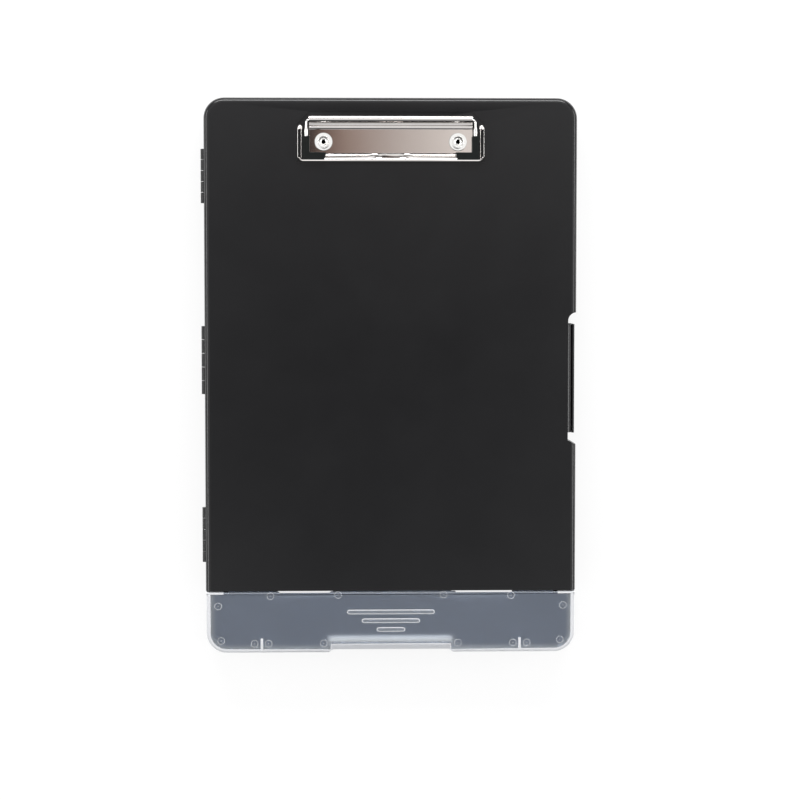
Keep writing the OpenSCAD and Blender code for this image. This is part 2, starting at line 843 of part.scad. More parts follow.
// Outer shape of one corner grip: an L over the wire, seated on the jaw
module grip_body(side) {
    h = wire_z + sleeve_r + grip_skin - jaw_top;
    out_x = wire_x + grip_w / 2;
    y0 = wire_front_y - grip_w / 2;
    r = grip_w / 3;
    mirror([side > 0 ? 0 : 1, 0, 0])
        translate([0, 0, jaw_top])
            linear_extrude(h)
                difference() {
                    union() {
                        translate([out_x - grip_w, y0 + r])
                            square([grip_w, grip_side_len - r]);
                        translate([out_x - grip_front_len, y0])
                            square([grip_front_len - r, grip_w]);
                        translate([out_x - r, y0 + r])
                            circle(r);
                    }
                    translate([out_x - grip_front_len - over, y0 - over])
                        rotate([0, 0, 30])
                            square([over, 3 * over]);
                }
}

module clip_grip(side) {
    color([0.1, 0.1, 0.11])
        difference() {
            grip_body(side);
            clip_wire();
        }
}

// Hollow rivet with a domed flange above the plate and a spread tail under its washer
module clip_rivet(side) {
    under_z = case_top - panel_t;
    tail_z = under_z - washer_t;
    tail_t = 0.6;
    tail_r = (shank_r + washer_r) / 2;
    dish_z = plate_top + flange_h / 2;
    crest_z = plate_top + flange_h;
    color("silver")
        translate([side * rivet_x, roll_y - rivet_y, 0])
            rotate_extrude()
                polygon([
                    [rivet_hole_r, tail_z - tail_t],
                    [tail_r, tail_z - tail_t],
                    [tail_r, tail_z],
                    [shank_r, tail_z],
                    [shank_r, plate_top],
                    [flange_r, plate_top],
                    [flange_r, plate_top + flange_h / 3],
                    [0.85 * flange_r, crest_z],
                    [0.7 * flange_r, crest_z],
                    [0.6 * flange_r, dish_z],
                    [rivet_rim_r, dish_z],
                    [rivet_rim_r, crest_z],
                    [rivet_hole_r, crest_z]
                ]);
}

module rivet_washer(side) {
    color("silver")
        translate([side * rivet_x, roll_y - rivet_y, case_top - panel_t - washer_t])
            difference() {
                cylinder(r = washer_r, h = washer_t);
                translate([0, 0, -over])
                    cylinder(r = shank_r, h = washer_t + 2 * over);
            }
}

base_tray();
cover_board();
pen_lid();
side_latch();
latch_pin();
hinge_pin(0);  // hinge_pin_top
hinge_pin(1);  // hinge_pin_middle
hinge_pin(2);  // hinge_pin_bottom
pen_lid_pin(-1);  // pen_lid_pin_left
pen_lid_pin(1);  // pen_lid_pin_right
clip_plate();
clip_jaw();
clip_wire();
clip_grip(-1);  // clip_grip_left
clip_grip(1);  // clip_grip_right
clip_rivet(-1);  // clip_rivet_left
clip_rivet(1);  // clip_rivet_right
rivet_washer(-1);  // rivet_washer_left
rivet_washer(1);  // rivet_washer_right
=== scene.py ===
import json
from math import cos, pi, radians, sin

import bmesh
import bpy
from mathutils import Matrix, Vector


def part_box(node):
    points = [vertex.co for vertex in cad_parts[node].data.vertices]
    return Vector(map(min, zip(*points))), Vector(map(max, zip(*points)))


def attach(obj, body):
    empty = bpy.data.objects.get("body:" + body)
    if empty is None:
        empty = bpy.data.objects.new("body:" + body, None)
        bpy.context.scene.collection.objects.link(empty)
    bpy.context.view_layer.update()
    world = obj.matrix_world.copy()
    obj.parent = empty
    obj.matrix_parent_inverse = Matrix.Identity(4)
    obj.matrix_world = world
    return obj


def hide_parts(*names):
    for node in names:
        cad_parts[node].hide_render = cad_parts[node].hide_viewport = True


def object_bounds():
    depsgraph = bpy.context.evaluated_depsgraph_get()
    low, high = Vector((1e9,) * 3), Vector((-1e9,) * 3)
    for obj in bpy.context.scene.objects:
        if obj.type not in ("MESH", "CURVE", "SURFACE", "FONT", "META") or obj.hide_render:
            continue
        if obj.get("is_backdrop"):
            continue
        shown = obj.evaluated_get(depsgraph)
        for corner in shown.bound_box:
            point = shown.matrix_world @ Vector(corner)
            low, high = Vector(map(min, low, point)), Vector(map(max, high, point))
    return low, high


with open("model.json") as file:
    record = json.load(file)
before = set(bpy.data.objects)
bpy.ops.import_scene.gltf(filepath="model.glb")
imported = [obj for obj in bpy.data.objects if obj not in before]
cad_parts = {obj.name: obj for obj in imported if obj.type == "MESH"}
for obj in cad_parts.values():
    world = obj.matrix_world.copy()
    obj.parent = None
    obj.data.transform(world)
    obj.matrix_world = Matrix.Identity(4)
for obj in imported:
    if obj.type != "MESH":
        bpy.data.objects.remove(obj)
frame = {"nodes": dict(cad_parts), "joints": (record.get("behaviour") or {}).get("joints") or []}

# %% [markdown]
# # Storage clipboard box
# This is a shallow plastic case that lies flat on a desk. Its side-hinged cover is also the
# writing board, with a low chromed clip near the far end. Across the near end is a frosted pen
# lid, and on the right a small plate swings up to hold the cover shut. The frame that was just
# loaded gives every part its exact size and place. Here each part gets its finish: softened
# edges, formed sheet metal, bent wire, and materials that grain and catch the light.

MM = 0.001
CAD_BOX = [[float(x) for x in corner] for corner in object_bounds()]
nodes = frame["nodes"]
joints = {joint["name"]: joint for joint in frame["joints"]}


def span(node):
    """The lowest and highest corners of a part, as vectors in metres."""
    low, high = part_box(node)
    return Vector(low), Vector(high)


def new_object(name, data):
    """A new object in the scene."""
    made = bpy.data.objects.new(name, data)
    bpy.context.scene.collection.objects.link(made)
    return made


BOARD_TOP = span("cover_board")[1].z
print(len(nodes), "parts in the frame; the board's face is at", round(BOARD_TOP / MM, 2), "mm")

# %% [markdown]
# ## The camera
# The case is seen from above, from about a metre and a half, with the camera a touch nearer to
# the clip end and to the hinges. A long lens keeps the sides parallel. The camera is placed by
# one point that it looks at on the board's face, a distance and two small leans, so each can be
# changed alone.

# %% Camera
LOOK_AT = Vector((6.27 * MM, -15.76 * MM, BOARD_TOP))
CAMERA_AWAY = 1.5
LEAN_TO_CLIP = radians(3.45)
LEAN_TO_HINGES = radians(1.62)
SCALE = 0.6862 * MM  # metres in one pixel of an 800 pixel frame
FRAME_SIDE = 800
SENSOR = 36

camera_data = bpy.data.cameras.new("camera")
camera_data.sensor_width = SENSOR
camera_data.lens = SENSOR * CAMERA_AWAY / (SCALE * FRAME_SIDE)
camera_data.clip_start = 0.01
camera = new_object("camera", camera_data)
towards = Vector((-sin(LEAN_TO_HINGES), sin(LEAN_TO_CLIP), 1)).normalized()
camera.location = LOOK_AT + CAMERA_AWAY * towards
across_frame = Vector((0, 1, 0)).cross(towards).normalized()
up_frame = towards.cross(across_frame)
camera.rotation_euler = Matrix((across_frame, up_frame, towards)).transposed().to_euler()
bpy.context.scene.camera = camera
print("lens", round(camera_data.lens, 1), "mm")

# %% [markdown]
# ## The room
# Soft light from a pale room shows dark plastic best: it draws a line along each rounded edge and
# leaves the flat face quiet. The floor is plain and nearly white to the camera, but it still
# takes the case's shadow. Polished metal shows the room itself, so the world is a small studio
# that is drawn by direction: a dim window straight above, which the board mirrors, a patch
# beside it that warms to one side, which the clip mirrors, and bright panels and a softer wall
# round them.

# %% Helpers for node trees
WHITE = (1, 1, 1)


def feed(tree, socket, value):
    """Gives an input its value: another node's output, a number or a plain colour."""
    if isinstance(value, bpy.types.NodeSocket):
        tree.links.new(value, socket)
    else:
        socket.default_value = (*value, 1) if socket.type == "RGBA" else value


def add(tree, kind, inputs=None, **settings):
    """A new node with its settings, and with inputs given by {number or label: value}."""
    node = tree.nodes.new(kind)
    for name, value in settings.items():
        setattr(node, name, value)
    for key, value in (inputs or {}).items():
        feed(tree, node.inputs[key], value)
    return node


def ramp(tree, source, stops, easing="EASE"):
    """A colour ramp over a value; stops are (position, colour or grey level)."""
    node = add(tree, "ShaderNodeValToRGB", {0: source})
    node.color_ramp.interpolation = easing
    elements = node.color_ramp.elements
    while len(elements) < len(stops):
        elements.new(0.5)
    for element, (position, colour) in zip(elements, stops):
        element.position = position
        if not hasattr(colour, "__len__"):
            colour = (colour, colour, colour)
        element.color = (*colour, 1)
    return node.outputs[0]


def blend_colours(tree, factor, a, b, mode="MIX"):
    """Colour a turned into colour b by a factor; each is a socket or a plain value."""
    inputs = {0: factor, 6: a, 7: b}
    return add(tree, "ShaderNodeMix", inputs, data_type="RGBA", blend_type=mode).outputs[2]


def maths(tree, operation, *values):
    """A Math node over sockets and numbers."""
    return add(tree, "ShaderNodeMath", dict(enumerate(values)), operation=operation).outputs[0]


def sum_of_squares(tree, x, y):
    """x times x plus y times y, for a distance in a plane."""
    return maths(tree, "ADD", maths(tree, "MULTIPLY", x, x), maths(tree, "MULTIPLY", y, y))


def choose(tree, factor, shader, other, output):
    """Shows one shader where a factor is 0 and the other where it is 1."""
    inputs = {0: factor, 1: shader.outputs[0], 2: other.outputs[0]}
    feed(tree, output.inputs["Surface"], add(tree, "ShaderNodeMixShader", inputs).outputs[0])


# %% New materials
FINISHES = {}


def finish(name, roughness, metallic=0.0, specular=0.5):
    """A new material; returns it with its node tree and shader."""
    material = bpy.data.materials.new(name)
    FINISHES[name] = material
    material.use_nodes = True
    tree = material.node_tree
    shader = tree.nodes["Principled BSDF"]
    feed(tree, shader.inputs["Roughness"], roughness)
    feed(tree, shader.inputs["Metallic"], metallic)
    feed(tree, shader.inputs["Specular IOR Level"], specular)
    return material, tree, shader


# %% World
ROOM = [(0.17, 0.97), (0.24, 0.45), (0.36, 0.40), (0.47, 0.40), (0.56, 0.35)]
FRONT = [(0.17, 0.05), (0.25, 1.0)]
WINDOW = [(0.13, 0.08), (0.17, 1.0)]
PATCH = [
    (0, (0.04, 0.03, 0.027)), (0.08, (0.13, 0.088, 0.072)), (0.2, (0.27, 0.195, 0.165)),
    (0.5, (0.42, 0.365, 0.34)), (0.95, (0.68, 0.63, 0.60)),
]
PATCH_RIM = [(0.55, 0.0), (1.0, 1.0)]
STUDIO_STRENGTH = 1.1


def studio_colour(tree):
    """The studio's colour in each direction."""
    where = add(tree, "ShaderNodeTexCoord").outputs["Generated"]
    across, along, up = add(tree, "ShaderNodeSeparateXYZ", {0: where}).outputs
    # by the angle from straight above: bright panels, then a softer wall; the front is dark
    angle = maths(tree, "MULTIPLY", maths(tree, "ARCCOSINE", up), 1 / pi)
    room = ramp(tree, angle, ROOM)
    front = ramp(tree, maths(tree, "MULTIPLY_ADD", along, 0.5, 0.5), FRONT)
    room = blend_colours(tree, 1.0, room, front, "MULTIPLY")
    # the dim window that the board mirrors
    off_x, off_y = maths(tree, "SUBTRACT", across, 0.02), maths(tree, "ADD", along, 0.05)
    window = ramp(tree, maths(tree, "SQRT", sum_of_squares(tree, off_x, off_y)), WINDOW)
    room = blend_colours(tree, 1.0, room, window, "MULTIPLY")
    # the patch that the clip's plate mirrors: warm and dim to the left, pale to the right
    patch = ramp(tree, maths(tree, "MULTIPLY_ADD", across, 13.5, 0.176), PATCH, "LINEAR")
    off_x = maths(tree, "MULTIPLY_ADD", across, 12.0, -0.29)
    off_y = maths(tree, "MULTIPLY_ADD", along, 20.0, -1.2)
    outside = ramp(tree, sum_of_squares(tree, off_x, off_y), PATCH_RIM)
    return blend_colours(tree, outside, patch, room)


def studio_world():
    """A pale room for the eye, and a studio with panels for what is polished."""
    world = bpy.data.worlds.new("studio")
    bpy.context.scene.world = world
    world.use_nodes = True
    tree = world.node_tree
    studio = tree.nodes["Background"]
    feed(tree, studio.inputs["Color"], studio_colour(tree))
    feed(tree, studio.inputs["Strength"], STUDIO_STRENGTH)
    white = add(tree, "ShaderNodeBackground", {"Color": WHITE, "Strength": 1.0})
    eye = add(tree, "ShaderNodeLightPath").outputs["Is Camera Ray"]
    choose(tree, eye, studio, white, tree.nodes["World Output"])


studio_world()
print("the world is", bpy.context.scene.world.name)

# %% Lamps
LAMP_AIM = Vector((0, 0, 0.02))
FILL_LAMP = "lamp_front"
LAMPS = {
    "lamp_far": ((0, 1.39, 0.80), (1.6, 0.50), 27),
    "lamp_left": ((-1.39, 0, 0.80), (1.7, 0.40), 13),
    "lamp_right": ((1.39, 0, 0.80), (1.7, 0.40), 13),
    FILL_LAMP: ((0, -1.50, 0.26), (1.6, 0.30), 7),
}  # each lamp's place and size in metres, and its watts


def panel_lamp(name, at, size, watts):
    """A soft rectangular lamp that points at the case."""
    data = bpy.data.lights.new(name, "AREA")
    data.shape = "RECTANGLE"
    data.size, data.size_y = size
    data.energy = watts
    lamp = new_object(name, data)
    lamp.location = at
    lamp.rotation_euler = (LAMP_AIM - Vector(at)).to_track_quat("-Z", "Y").to_euler()
    return lamp


for name, values in LAMPS.items():
    lamp = panel_lamp(name, *values)
    # the fill lights the front edge, but it draws no line on the chrome
    lamp.visible_glossy = name != FILL_LAMP
print(len(LAMPS), "soft lamps are set")

# %% Floor
FLOOR_SIDE = 12
FLOOR_DROP = 0.02 * MM
FLOOR_GREY = (0.86, 0.86, 0.86)
FLOOR_WHITE = 0.82  # the share of plain white in what the eye sees


def pale_floor():
    """A wide plain floor, near white to the eye, that still takes a soft shadow."""
    bm = bmesh.new()
    bmesh.ops.create_grid(bm, x_segments=1, y_segments=1, size=FLOOR_SIDE / 2)
    bmesh.ops.translate(bm, verts=bm.verts, vec=(0, 0, -FLOOR_DROP))
    mesh = bpy.data.meshes.new("floor")
    bm.to_mesh(mesh)
    bm.free()
    floor = new_object("floor", mesh)
    material, tree, shader = finish("floor_white", 0.9, specular=0.0)
    feed(tree, shader.inputs["Base Color"], FLOOR_GREY)
    glow = add(tree, "ShaderNodeEmission", {"Color": WHITE, "Strength": 1.0})
    path = add(tree, "ShaderNodeLightPath")
    rays = [path.outputs[ray] for ray in ("Is Camera Ray", "Is Transmission Ray")]
    seen = maths(tree, "MAXIMUM", *rays)
    share = maths(tree, "MULTIPLY", seen, FLOOR_WHITE)
    choose(tree, share, shader, glow, tree.nodes["Material Output"])
    mesh.materials.append(material)
    floor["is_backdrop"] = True


pale_floor()
print("the floor is", FLOOR_SIDE, "m wide")

# %% [markdown]
# ## Shared surface effects
# Four effects turn up in the finishes: a fine moulded grain, the rubbed look of worn edges, a
# little dust on faces that look up, and a painted glow: pale colour laid along a frosted rim
# where light would gather.
# Each is a node group, built once, that puts out a height or a mask. A material places the group
# with its own scale and mixes the result in as it needs.

# %% Node group helper
def effect(name, inputs, outputs):
    """An empty node group with float inputs {name: default} and float outputs."""
    tree = bpy.data.node_groups.new(name, "ShaderNodeTree")
    for label, value in inputs.items():
        socket = tree.interface.new_socket(label, in_out="INPUT", socket_type="NodeSocketFloat")
        socket.default_value = value
    for label in outputs:
        tree.interface.new_socket(label, in_out="OUTPUT", socket_type="NodeSocketFloat")
    return tree, add(tree, "NodeGroupInput").outputs, add(tree, "NodeGroupOutput").inputs


def noise(tree, scale, detail=2.0, roughness=0.5, vector=None):
    """A noise value, on the object's own coordinates where no vector is given."""
    inputs = {"Scale": scale, "Detail": detail, "Roughness": roughness}
    inputs["Vector"] = vector or add(tree, "ShaderNodeTexCoord").outputs["Object"]
    return add(tree, "ShaderNodeTexNoise", inputs).outputs[0]


# %% Grain, edge wear and dust
def build_grain():
    """Small pebbles for a moulded grain, with broad blotches that vary it."""
    inputs = {"Scale": 900.0, "Blotch Scale": 18.0}
    tree, given, made = effect("moulded_grain", inputs, ["Height", "Blotch"])
    here = add(tree, "ShaderNodeTexCoord").outputs["Object"]
    inputs = {"Vector": here, "Scale": given["Scale"]}
    cells = add(tree, "ShaderNodeTexVoronoi", inputs, feature="SMOOTH_F1")
    fine = noise(tree, maths(tree, "MULTIPLY", given["Scale"], 2.3), 3.0, vector=here)
    pebbles = maths(tree, "SUBTRACT", 1.0, cells.outputs["Distance"])
    feed(tree, made["Height"], maths(tree, "MULTIPLY_ADD", fine, 0.5, pebbles))
    feed(tree, made["Blotch"], noise(tree, given["Blotch Scale"], 4.0, 0.6, here))
    return tree


def build_wear():
    """A mask that is strong where an edge turns sharply, broken up by noise."""
    tree, given, made = effect("edge_wear", {"Radius": 0.6 * MM, "Break Up": 400.0}, ["Mask"])
    rounded = add(tree, "ShaderNodeBevel", {"Radius": given["Radius"]}, samples=4)
    normal = add(tree, "ShaderNodeNewGeometry").outputs["Normal"]
    inputs = {0: rounded.outputs[0], 1: normal}
    facing = add(tree, "ShaderNodeVectorMath", inputs, operation="DOT_PRODUCT")
    bend = maths(tree, "SUBTRACT", 1.0, facing.outputs["Value"])
    broken = maths(tree, "MULTIPLY", bend, noise(tree, given["Break Up"], 3.0))
    feed(tree, made["Mask"], maths(tree, "MINIMUM", maths(tree, "MULTIPLY", broken, 6.0), 1.0))
    return tree


def build_dust():
    """A mask for fine dust: specks and haze on faces that look up."""
    tree, given, made = effect("light_dust", {"Amount": 0.2}, ["Mask"])
    normal = add(tree, "ShaderNodeNewGeometry").outputs["Normal"]
    up = add(tree, "ShaderNodeSeparateXYZ", {0: normal}).outputs[2]
    haze = maths(tree, "MULTIPLY", noise(tree, 30.0, 5.0, 0.7), noise(tree, 1400.0, 2.0))
    level = maths(tree, "MULTIPLY", maths(tree, "MAXIMUM", up, 0.0), haze)
    feed(tree, made["Mask"], maths(tree, "MULTIPLY", level, given["Amount"]))
    return tree


# %% Painted rim glow
OUTLINE_HALF, OUTLINE_FRONT, OUTLINE_R = 127 * MM, 190.5 * MM, 14 * MM
# where the painted glow over the notch goes from none to full
NOTCH_PAINTED_GLOW_X, NOTCH_PAINTED_GLOW_Y = (47 * MM, 40 * MM), (176 * MM, 183 * MM)  # from none to full glow


def smooth(tree, value, start, end):
    """A soft step from 0 at start to 1 at end."""
    inputs = {0: value, 1: start, 2: end}
    return add(tree, "ShaderNodeMapRange", inputs, interpolation_type="SMOOTHSTEP").outputs[0]


def build_painted_rim_glow():
    """A mask for the painted glow: it rises towards the lid's rim and front notch, where light
    would gather.
    """
    tree, given, made = effect("painted_rim_glow", {"Skirt": 2 * MM, "Reach": 5 * MM}, ["Mask"])
    here = add(tree, "ShaderNodeTexCoord").outputs["Object"]
    x, y, _ = add(tree, "ShaderNodeSeparateXYZ", {0: here}).outputs
    across, forward = maths(tree, "ABSOLUTE", x), maths(tree, "MULTIPLY", y, -1.0)
    # how far inside the rounded outline a point lies
    past_x = maths(tree, "SUBTRACT", across, OUTLINE_HALF - OUTLINE_R)
    past_y = maths(tree, "SUBTRACT", forward, OUTLINE_FRONT - OUTLINE_R)
    out_x, out_y = maths(tree, "MAXIMUM", past_x, 0.0), maths(tree, "MAXIMUM", past_y, 0.0)
    round_part = maths(tree, "SQRT", sum_of_squares(tree, out_x, out_y))
    straight_part = maths(tree, "MINIMUM", maths(tree, "MAXIMUM", past_x, past_y), 0.0)
    inside = maths(tree, "SUBTRACT", OUTLINE_R, maths(tree, "ADD", round_part, straight_part))
    behind_skirt = maths(tree, "SUBTRACT", inside, given["Skirt"])
    rim = smooth(tree, maths(tree, "DIVIDE", behind_skirt, given["Reach"]), 1.0, 0.0)
    near_x, near_y = smooth(tree, across, *NOTCH_PAINTED_GLOW_X), smooth(tree, forward, *NOTCH_PAINTED_GLOW_Y)
    notch = maths(tree, "MULTIPLY", near_x, near_y)
    feed(tree, made["Mask"], maths(tree, "MAXIMUM", rim, notch))
    return tree


GRAIN, WEAR, DUST, PAINTED_GLOW = build_grain(), build_wear(), build_dust(), build_painted_rim_glow()
print("node groups:", GRAIN.name, WEAR.name, DUST.name, PAINTED_GLOW.name)

# %% [markdown]
# ## The finishes
# Every finish starts from the same shader. The case is matt black plastic with a fine grain; the
# board's face is a little finer, so that paper slides on it. The lid is frosted: light passes
# through it, but scatters. The clip is chromed sheet, the wire and rivets are polished steel and
# nickel, and the corner grips are soft black vinyl.

# %% Material helpers
def place(tree, group, **values):
    """One of the shared effects, placed in a material with its own values."""
    inputs = {label.replace("_", " ").title(): value for label, value in values.items()}
    return add(tree, "ShaderNodeGroup", inputs, node_tree=group).outputs


def surface(made, shade, worn, rough, height, depth, strength):
    """Sets a finish's colour, its roughness over a 0 to 1 value, and its relief in metres."""
    material, tree, shader = made
    feed(tree, shader.inputs["Base Color"], shade)
    spread = add(tree, "ShaderNodeMapRange", {0: worn, 3: rough[0], 4: rough[1]})
    feed(tree, shader.inputs["Roughness"], spread.outputs[0])
    inputs = {"Strength": strength, "Distance": depth, "Height": height}
    feed(tree, shader.inputs["Normal"], add(tree, "ShaderNodeBump", inputs).outputs[0])
    return material


# %% Black plastics
RUBBED_BLACK = (0.024, 0.024, 0.026)
DUST_GREY = (0.20, 0.20, 0.20)


def moulded_black(name, base, grain, depth, rough, dust, specular):
    """Matt black plastic with a fine grain, paler rubbed edges and a trace of dust."""
    made = finish(name, rough[0], specular=specular)
    tree = made[1]
    texture = place(tree, GRAIN, scale=grain, blotch_scale=14.0)
    edge = place(tree, WEAR, radius=0.5 * MM, break_up=500.0)
    speck = place(tree, DUST, amount=dust)
    darker = tuple(0.82 * c for c in base)
    shade = blend_colours(tree, texture["Blotch"], darker, base)
    shade = blend_colours(tree, edge["Mask"], shade, RUBBED_BLACK)
    shade = blend_colours(tree, speck["Mask"], shade, DUST_GREY)
    return surface(made, shade, texture["Blotch"], rough, texture["Height"], depth, 0.5)


case_plastic = moulded_black(
    "case_plastic", base=(0.0095, 0.0095, 0.0105), grain=1100.0, depth=0.03 * MM,
    rough=(0.26, 0.36), dust=0.04, specular=0.35,
)
board_plastic = moulded_black(
    "board_plastic", base=(0.0058, 0.0058, 0.0066), grain=1500.0, depth=0.01 * MM,
    rough=(0.18, 0.22), dust=0.03, specular=0.40,
)
print("black plastics:", case_plastic.name, board_plastic.name)


# %% Frosted lid plastic
PLASTIC_IOR = 1.49
# pale colour painted into the lid where light would gather: a painted glow, not a lamp
PAINTED_GLOW_COLOUR = (0.90, 0.95, 1.0)


def frosted(name, clear, thin, thick, rough, specular=0.3, glow=0.0):
    """Milky clear plastic: much of the light passes and scatters, and the rest stays as haze."""
    made = finish(name, rough, specular=specular)
    _, tree, shader = made
    feed(tree, shader.inputs["Transmission Weight"], clear)
    feed(tree, shader.inputs["IOR"], PLASTIC_IOR)
    texture = place(tree, GRAIN, scale=700.0, blotch_scale=12.0)
    shade = blend_colours(tree, texture["Blotch"], thin, thick)
    # a painted glow: the mask pales the colour by the rim and notch, where light would gather
    painted_glow_share = maths(tree, "MULTIPLY", place(tree, PAINTED_GLOW)["Mask"], glow)
    shade = blend_colours(tree, painted_glow_share, shade, PAINTED_GLOW_COLOUR)
    spread = (0.85 * rough, 1.15 * rough)
    return surface(made, shade, texture["Blotch"], spread, texture["Height"], 0.01 * MM, 0.3)


# one plastic in four copies: the rib, lip and edge copies are paler and less clear, which paints
# the light gathered there, and the panel copy paints a glow by its rim
frost_and_painted_light_copies = (
    frosted("frosted_plastic", 0.87, (0.43, 0.50, 0.63), (0.52, 0.59, 0.72), 0.32, glow=1.0),
    frosted("frosted_rib", 0.80, (0.62, 0.68, 0.78), (0.72, 0.78, 0.87), 0.25, specular=0.5),
    frosted("frosted_lip", 0.45, (0.55, 0.56, 0.59), (0.63, 0.64, 0.67), 0.35),
    frosted("frosted_edge", 0.12, (0.58, 0.59, 0.61), (0.65, 0.66, 0.68), 0.35),
)
print("frosted plastics:", [material.name for material in frost_and_painted_light_copies])


# %% Metals
def plated(name, colour, dull, rough):
    """Polished plating with faint drawn lines across the part and small dull patches."""
    made = finish(name, rough[0], metallic=1.0)
    tree = made[1]
    here = add(tree, "ShaderNodeTexCoord").outputs["Object"]
    stretch = add(tree, "ShaderNodeMapping", {"Vector": here, "Scale": (0.03, 1.0, 1.0)})
    lines = noise(tree, 600.0, 3.0, 0.6, stretch.outputs[0])
    patches = noise(tree, 60.0, 4.0, 0.6)
    edge = place(tree, WEAR, radius=0.3 * MM, break_up=700.0)
    shade = blend_colours(tree, patches, dull, colour)
    shade = blend_colours(tree, edge["Mask"], shade, colour)
    return surface(made, shade, patches, rough, lines, 0.004 * MM, 0.5)


metals = (
    plated("clip_chrome", (0.93, 0.90, 0.88), (0.84, 0.81, 0.79), (0.03, 0.07)),
    plated("wire_steel", (0.86, 0.85, 0.84), (0.70, 0.69, 0.68), (0.14, 0.24)),
    plated("pin_steel", (0.72, 0.72, 0.72), (0.55, 0.55, 0.56), (0.22, 0.34)),
    plated("rivet_nickel", (0.92, 0.91, 0.89), (0.80, 0.79, 0.77), (0.08, 0.14)),
)
print("metals:", [material.name for material in metals])


# %% Grip vinyl
VINYL_DARK, VINYL_PALE = (0.006, 0.0072, 0.0070), (0.009, 0.0104, 0.0100)
RUBBED_VINYL = (0.03, 0.033, 0.032)


def vinyl():
    """Dipped black vinyl: nearly smooth, with a soft sheen and slow ripples."""
    made = finish("grip_plastic", 0.42, specular=0.1)
    tree = made[1]
    ripples = noise(tree, 350.0, 2.0)
    edge = place(tree, WEAR, radius=0.4 * MM, break_up=600.0)
    shade = blend_colours(tree, ripples, VINYL_DARK, VINYL_PALE)
    shade = blend_colours(tree, edge["Mask"], shade, RUBBED_VINYL)
    return surface(made, shade, ripples, (0.34, 0.5), ripples, 0.05 * MM, 0.4)


grip_plastic = vinyl()
print("grips:", grip_plastic.name)

# %% [markdown]
# ## Finishing a piece
# Every piece ends the same way: the mesh becomes an object at the origin, it gets smooth shading
# with crisp folds, it is told which body it moves with and which finish it takes, and the frame
# part it stands for is hidden. A weighted-normal modifier keeps the broad flat faces flat beside
# their rounded edges.

# %% Finish a piece
CREASE, SHEET_CREASE = radians(32), radians(18)


def make_piece(name, bm, body, slot, stands_for, look=None, crease=CREASE):
    """Turns a bmesh into an object that rides on a body; its look may differ from its slot."""
    mesh = bpy.data.meshes.new(name)
    bm.to_mesh(mesh)
    bm.free()
    mesh.shade_smooth()
    mesh.set_sharp_from_angle(angle=crease)
    mesh.materials.append(FINISHES[look or slot])
    piece = new_object(name, mesh)
    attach(piece, body)
    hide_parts(*stands_for)
    print(name, "has", len(mesh.polygons), "faces")
    return piece


def even_shading(piece):
    """Keeps broad faces flat beside small rounded ones."""
    piece.modifiers.new("even_shading", "WEIGHTED_NORMAL").keep_sharp = True
    return piece


print(len(FINISHES), "materials are ready")

# %% [markdown]
# ## The moulded shells
# The tray, the board, the pen lid and the latch plate are all moulded, and a moulding has no
# truly sharp edge. The frame already has their exact shapes, so the quick and exact way is to
# copy each mesh, merge its loose triangles into whole faces, and bevel the edges that have room
# for it.

# %% Softened copies
MERGE = 0.002 * MM
FLAT = radians(0.5)
SHARP = radians(35)


def merged_copy(node):
    """A bmesh of a frame part whose loose triangles are merged into whole faces."""
    bm = bmesh.new()
    bm.from_mesh(nodes[node].data)
    bmesh.ops.remove_doubles(bm, verts=bm.verts[:], dist=MERGE)
    bmesh.ops.dissolve_degenerate(bm, dist=MERGE / 2, edges=bm.edges[:])
    bmesh.ops.dissolve_limit(bm, angle_limit=FLAT, verts=bm.verts[:], edges=bm.edges[:])
    return bm


def has_room(edge, width):
    """Is there room for a bevel of this width on both faces and at both ends of an edge?"""
    if not edge.is_manifold or edge.calc_face_angle() < SHARP:
        return False
    length = edge.calc_length()
    if any(face.calc_area() < 2.2 * width * length for face in edge.link_faces):
        return False
    beside = [e for v in edge.verts for e in v.link_edges if e is not edge]
    return min(e.calc_length() for e in beside) > 1.2 * width


def round_off(bm, edges, width, segments=2, clamp=False):
    """Bevels some edges to a rounded shape."""
    bmesh.ops.bevel(
        bm, geom=edges, offset=width, offset_type="OFFSET", segments=segments,
        profile=0.5, affect="EDGES", material=-1, clamp_overlap=clamp,
    )


def ring_edges(bm, ring):
    """The edges that join a ring of vertices."""
    found = set(ring)
    return [e for e in bm.edges if e.verts[0] in found and e.verts[1] in found]


def only(geom, kind):
    """The parts of an operator's result that are of one kind."""
    return [part for part in geom if isinstance(part, kind)]


def face_outward(bm):
    """Turns every face to look out of its shell."""
    bmesh.ops.recalc_face_normals(bm, faces=bm.faces[:])


def soften(bm, width, where):
    """Rounds every sharp edge that has room for it and passes the test."""
    edges = [e for e in bm.edges if has_room(e, width) and where(e)]
    round_off(bm, edges, width, clamp=True)
    print("softened", len(edges), "edges by", round(width / MM, 2), "mm")


def middle(edge):
    """The middle point of an edge."""
    return (edge.verts[0].co + edge.verts[1].co) / 2


def cut(bm, at, facing):
    """Cuts every face that a plane goes through."""
    geom = [*bm.verts, *bm.edges, *bm.faces]
    bmesh.ops.bisect_plane(bm, geom=geom, plane_co=at, plane_no=facing, dist=MERGE)


# %% Tray, latch and board
HINGE_AXIS = Vector(joints["cover_hinge"]["pos_m"])
KNUCKLE_R = 2.1 * MM


def not_knuckle(edge):
    """Is an edge clear of the knuckles' ends, which have to stay close together?"""
    off = middle(edge) - HINGE_AXIS
    along = abs(edge.verts[0].co.y - edge.verts[1].co.y)
    return along > MERGE or off.x * off.x + off.z * off.z > KNUCKLE_R * KNUCKLE_R


def shell(node, name, body, slot, width, where=lambda edge: True):
    """A softened copy of a frame part as a finished piece."""
    bm = merged_copy(node)
    soften(bm, width, where)
    even_shading(make_piece(name, bm, body, slot, [node]))


shell("base_tray", "tray_shell", "base", "case_plastic", 0.35 * MM, not_knuckle)
shell("side_latch", "latch_plate", "latch", "case_plastic", 0.25 * MM)
shell("cover_board", "writing_board", "cover", "board_plastic", 0.3 * MM, not_knuckle)
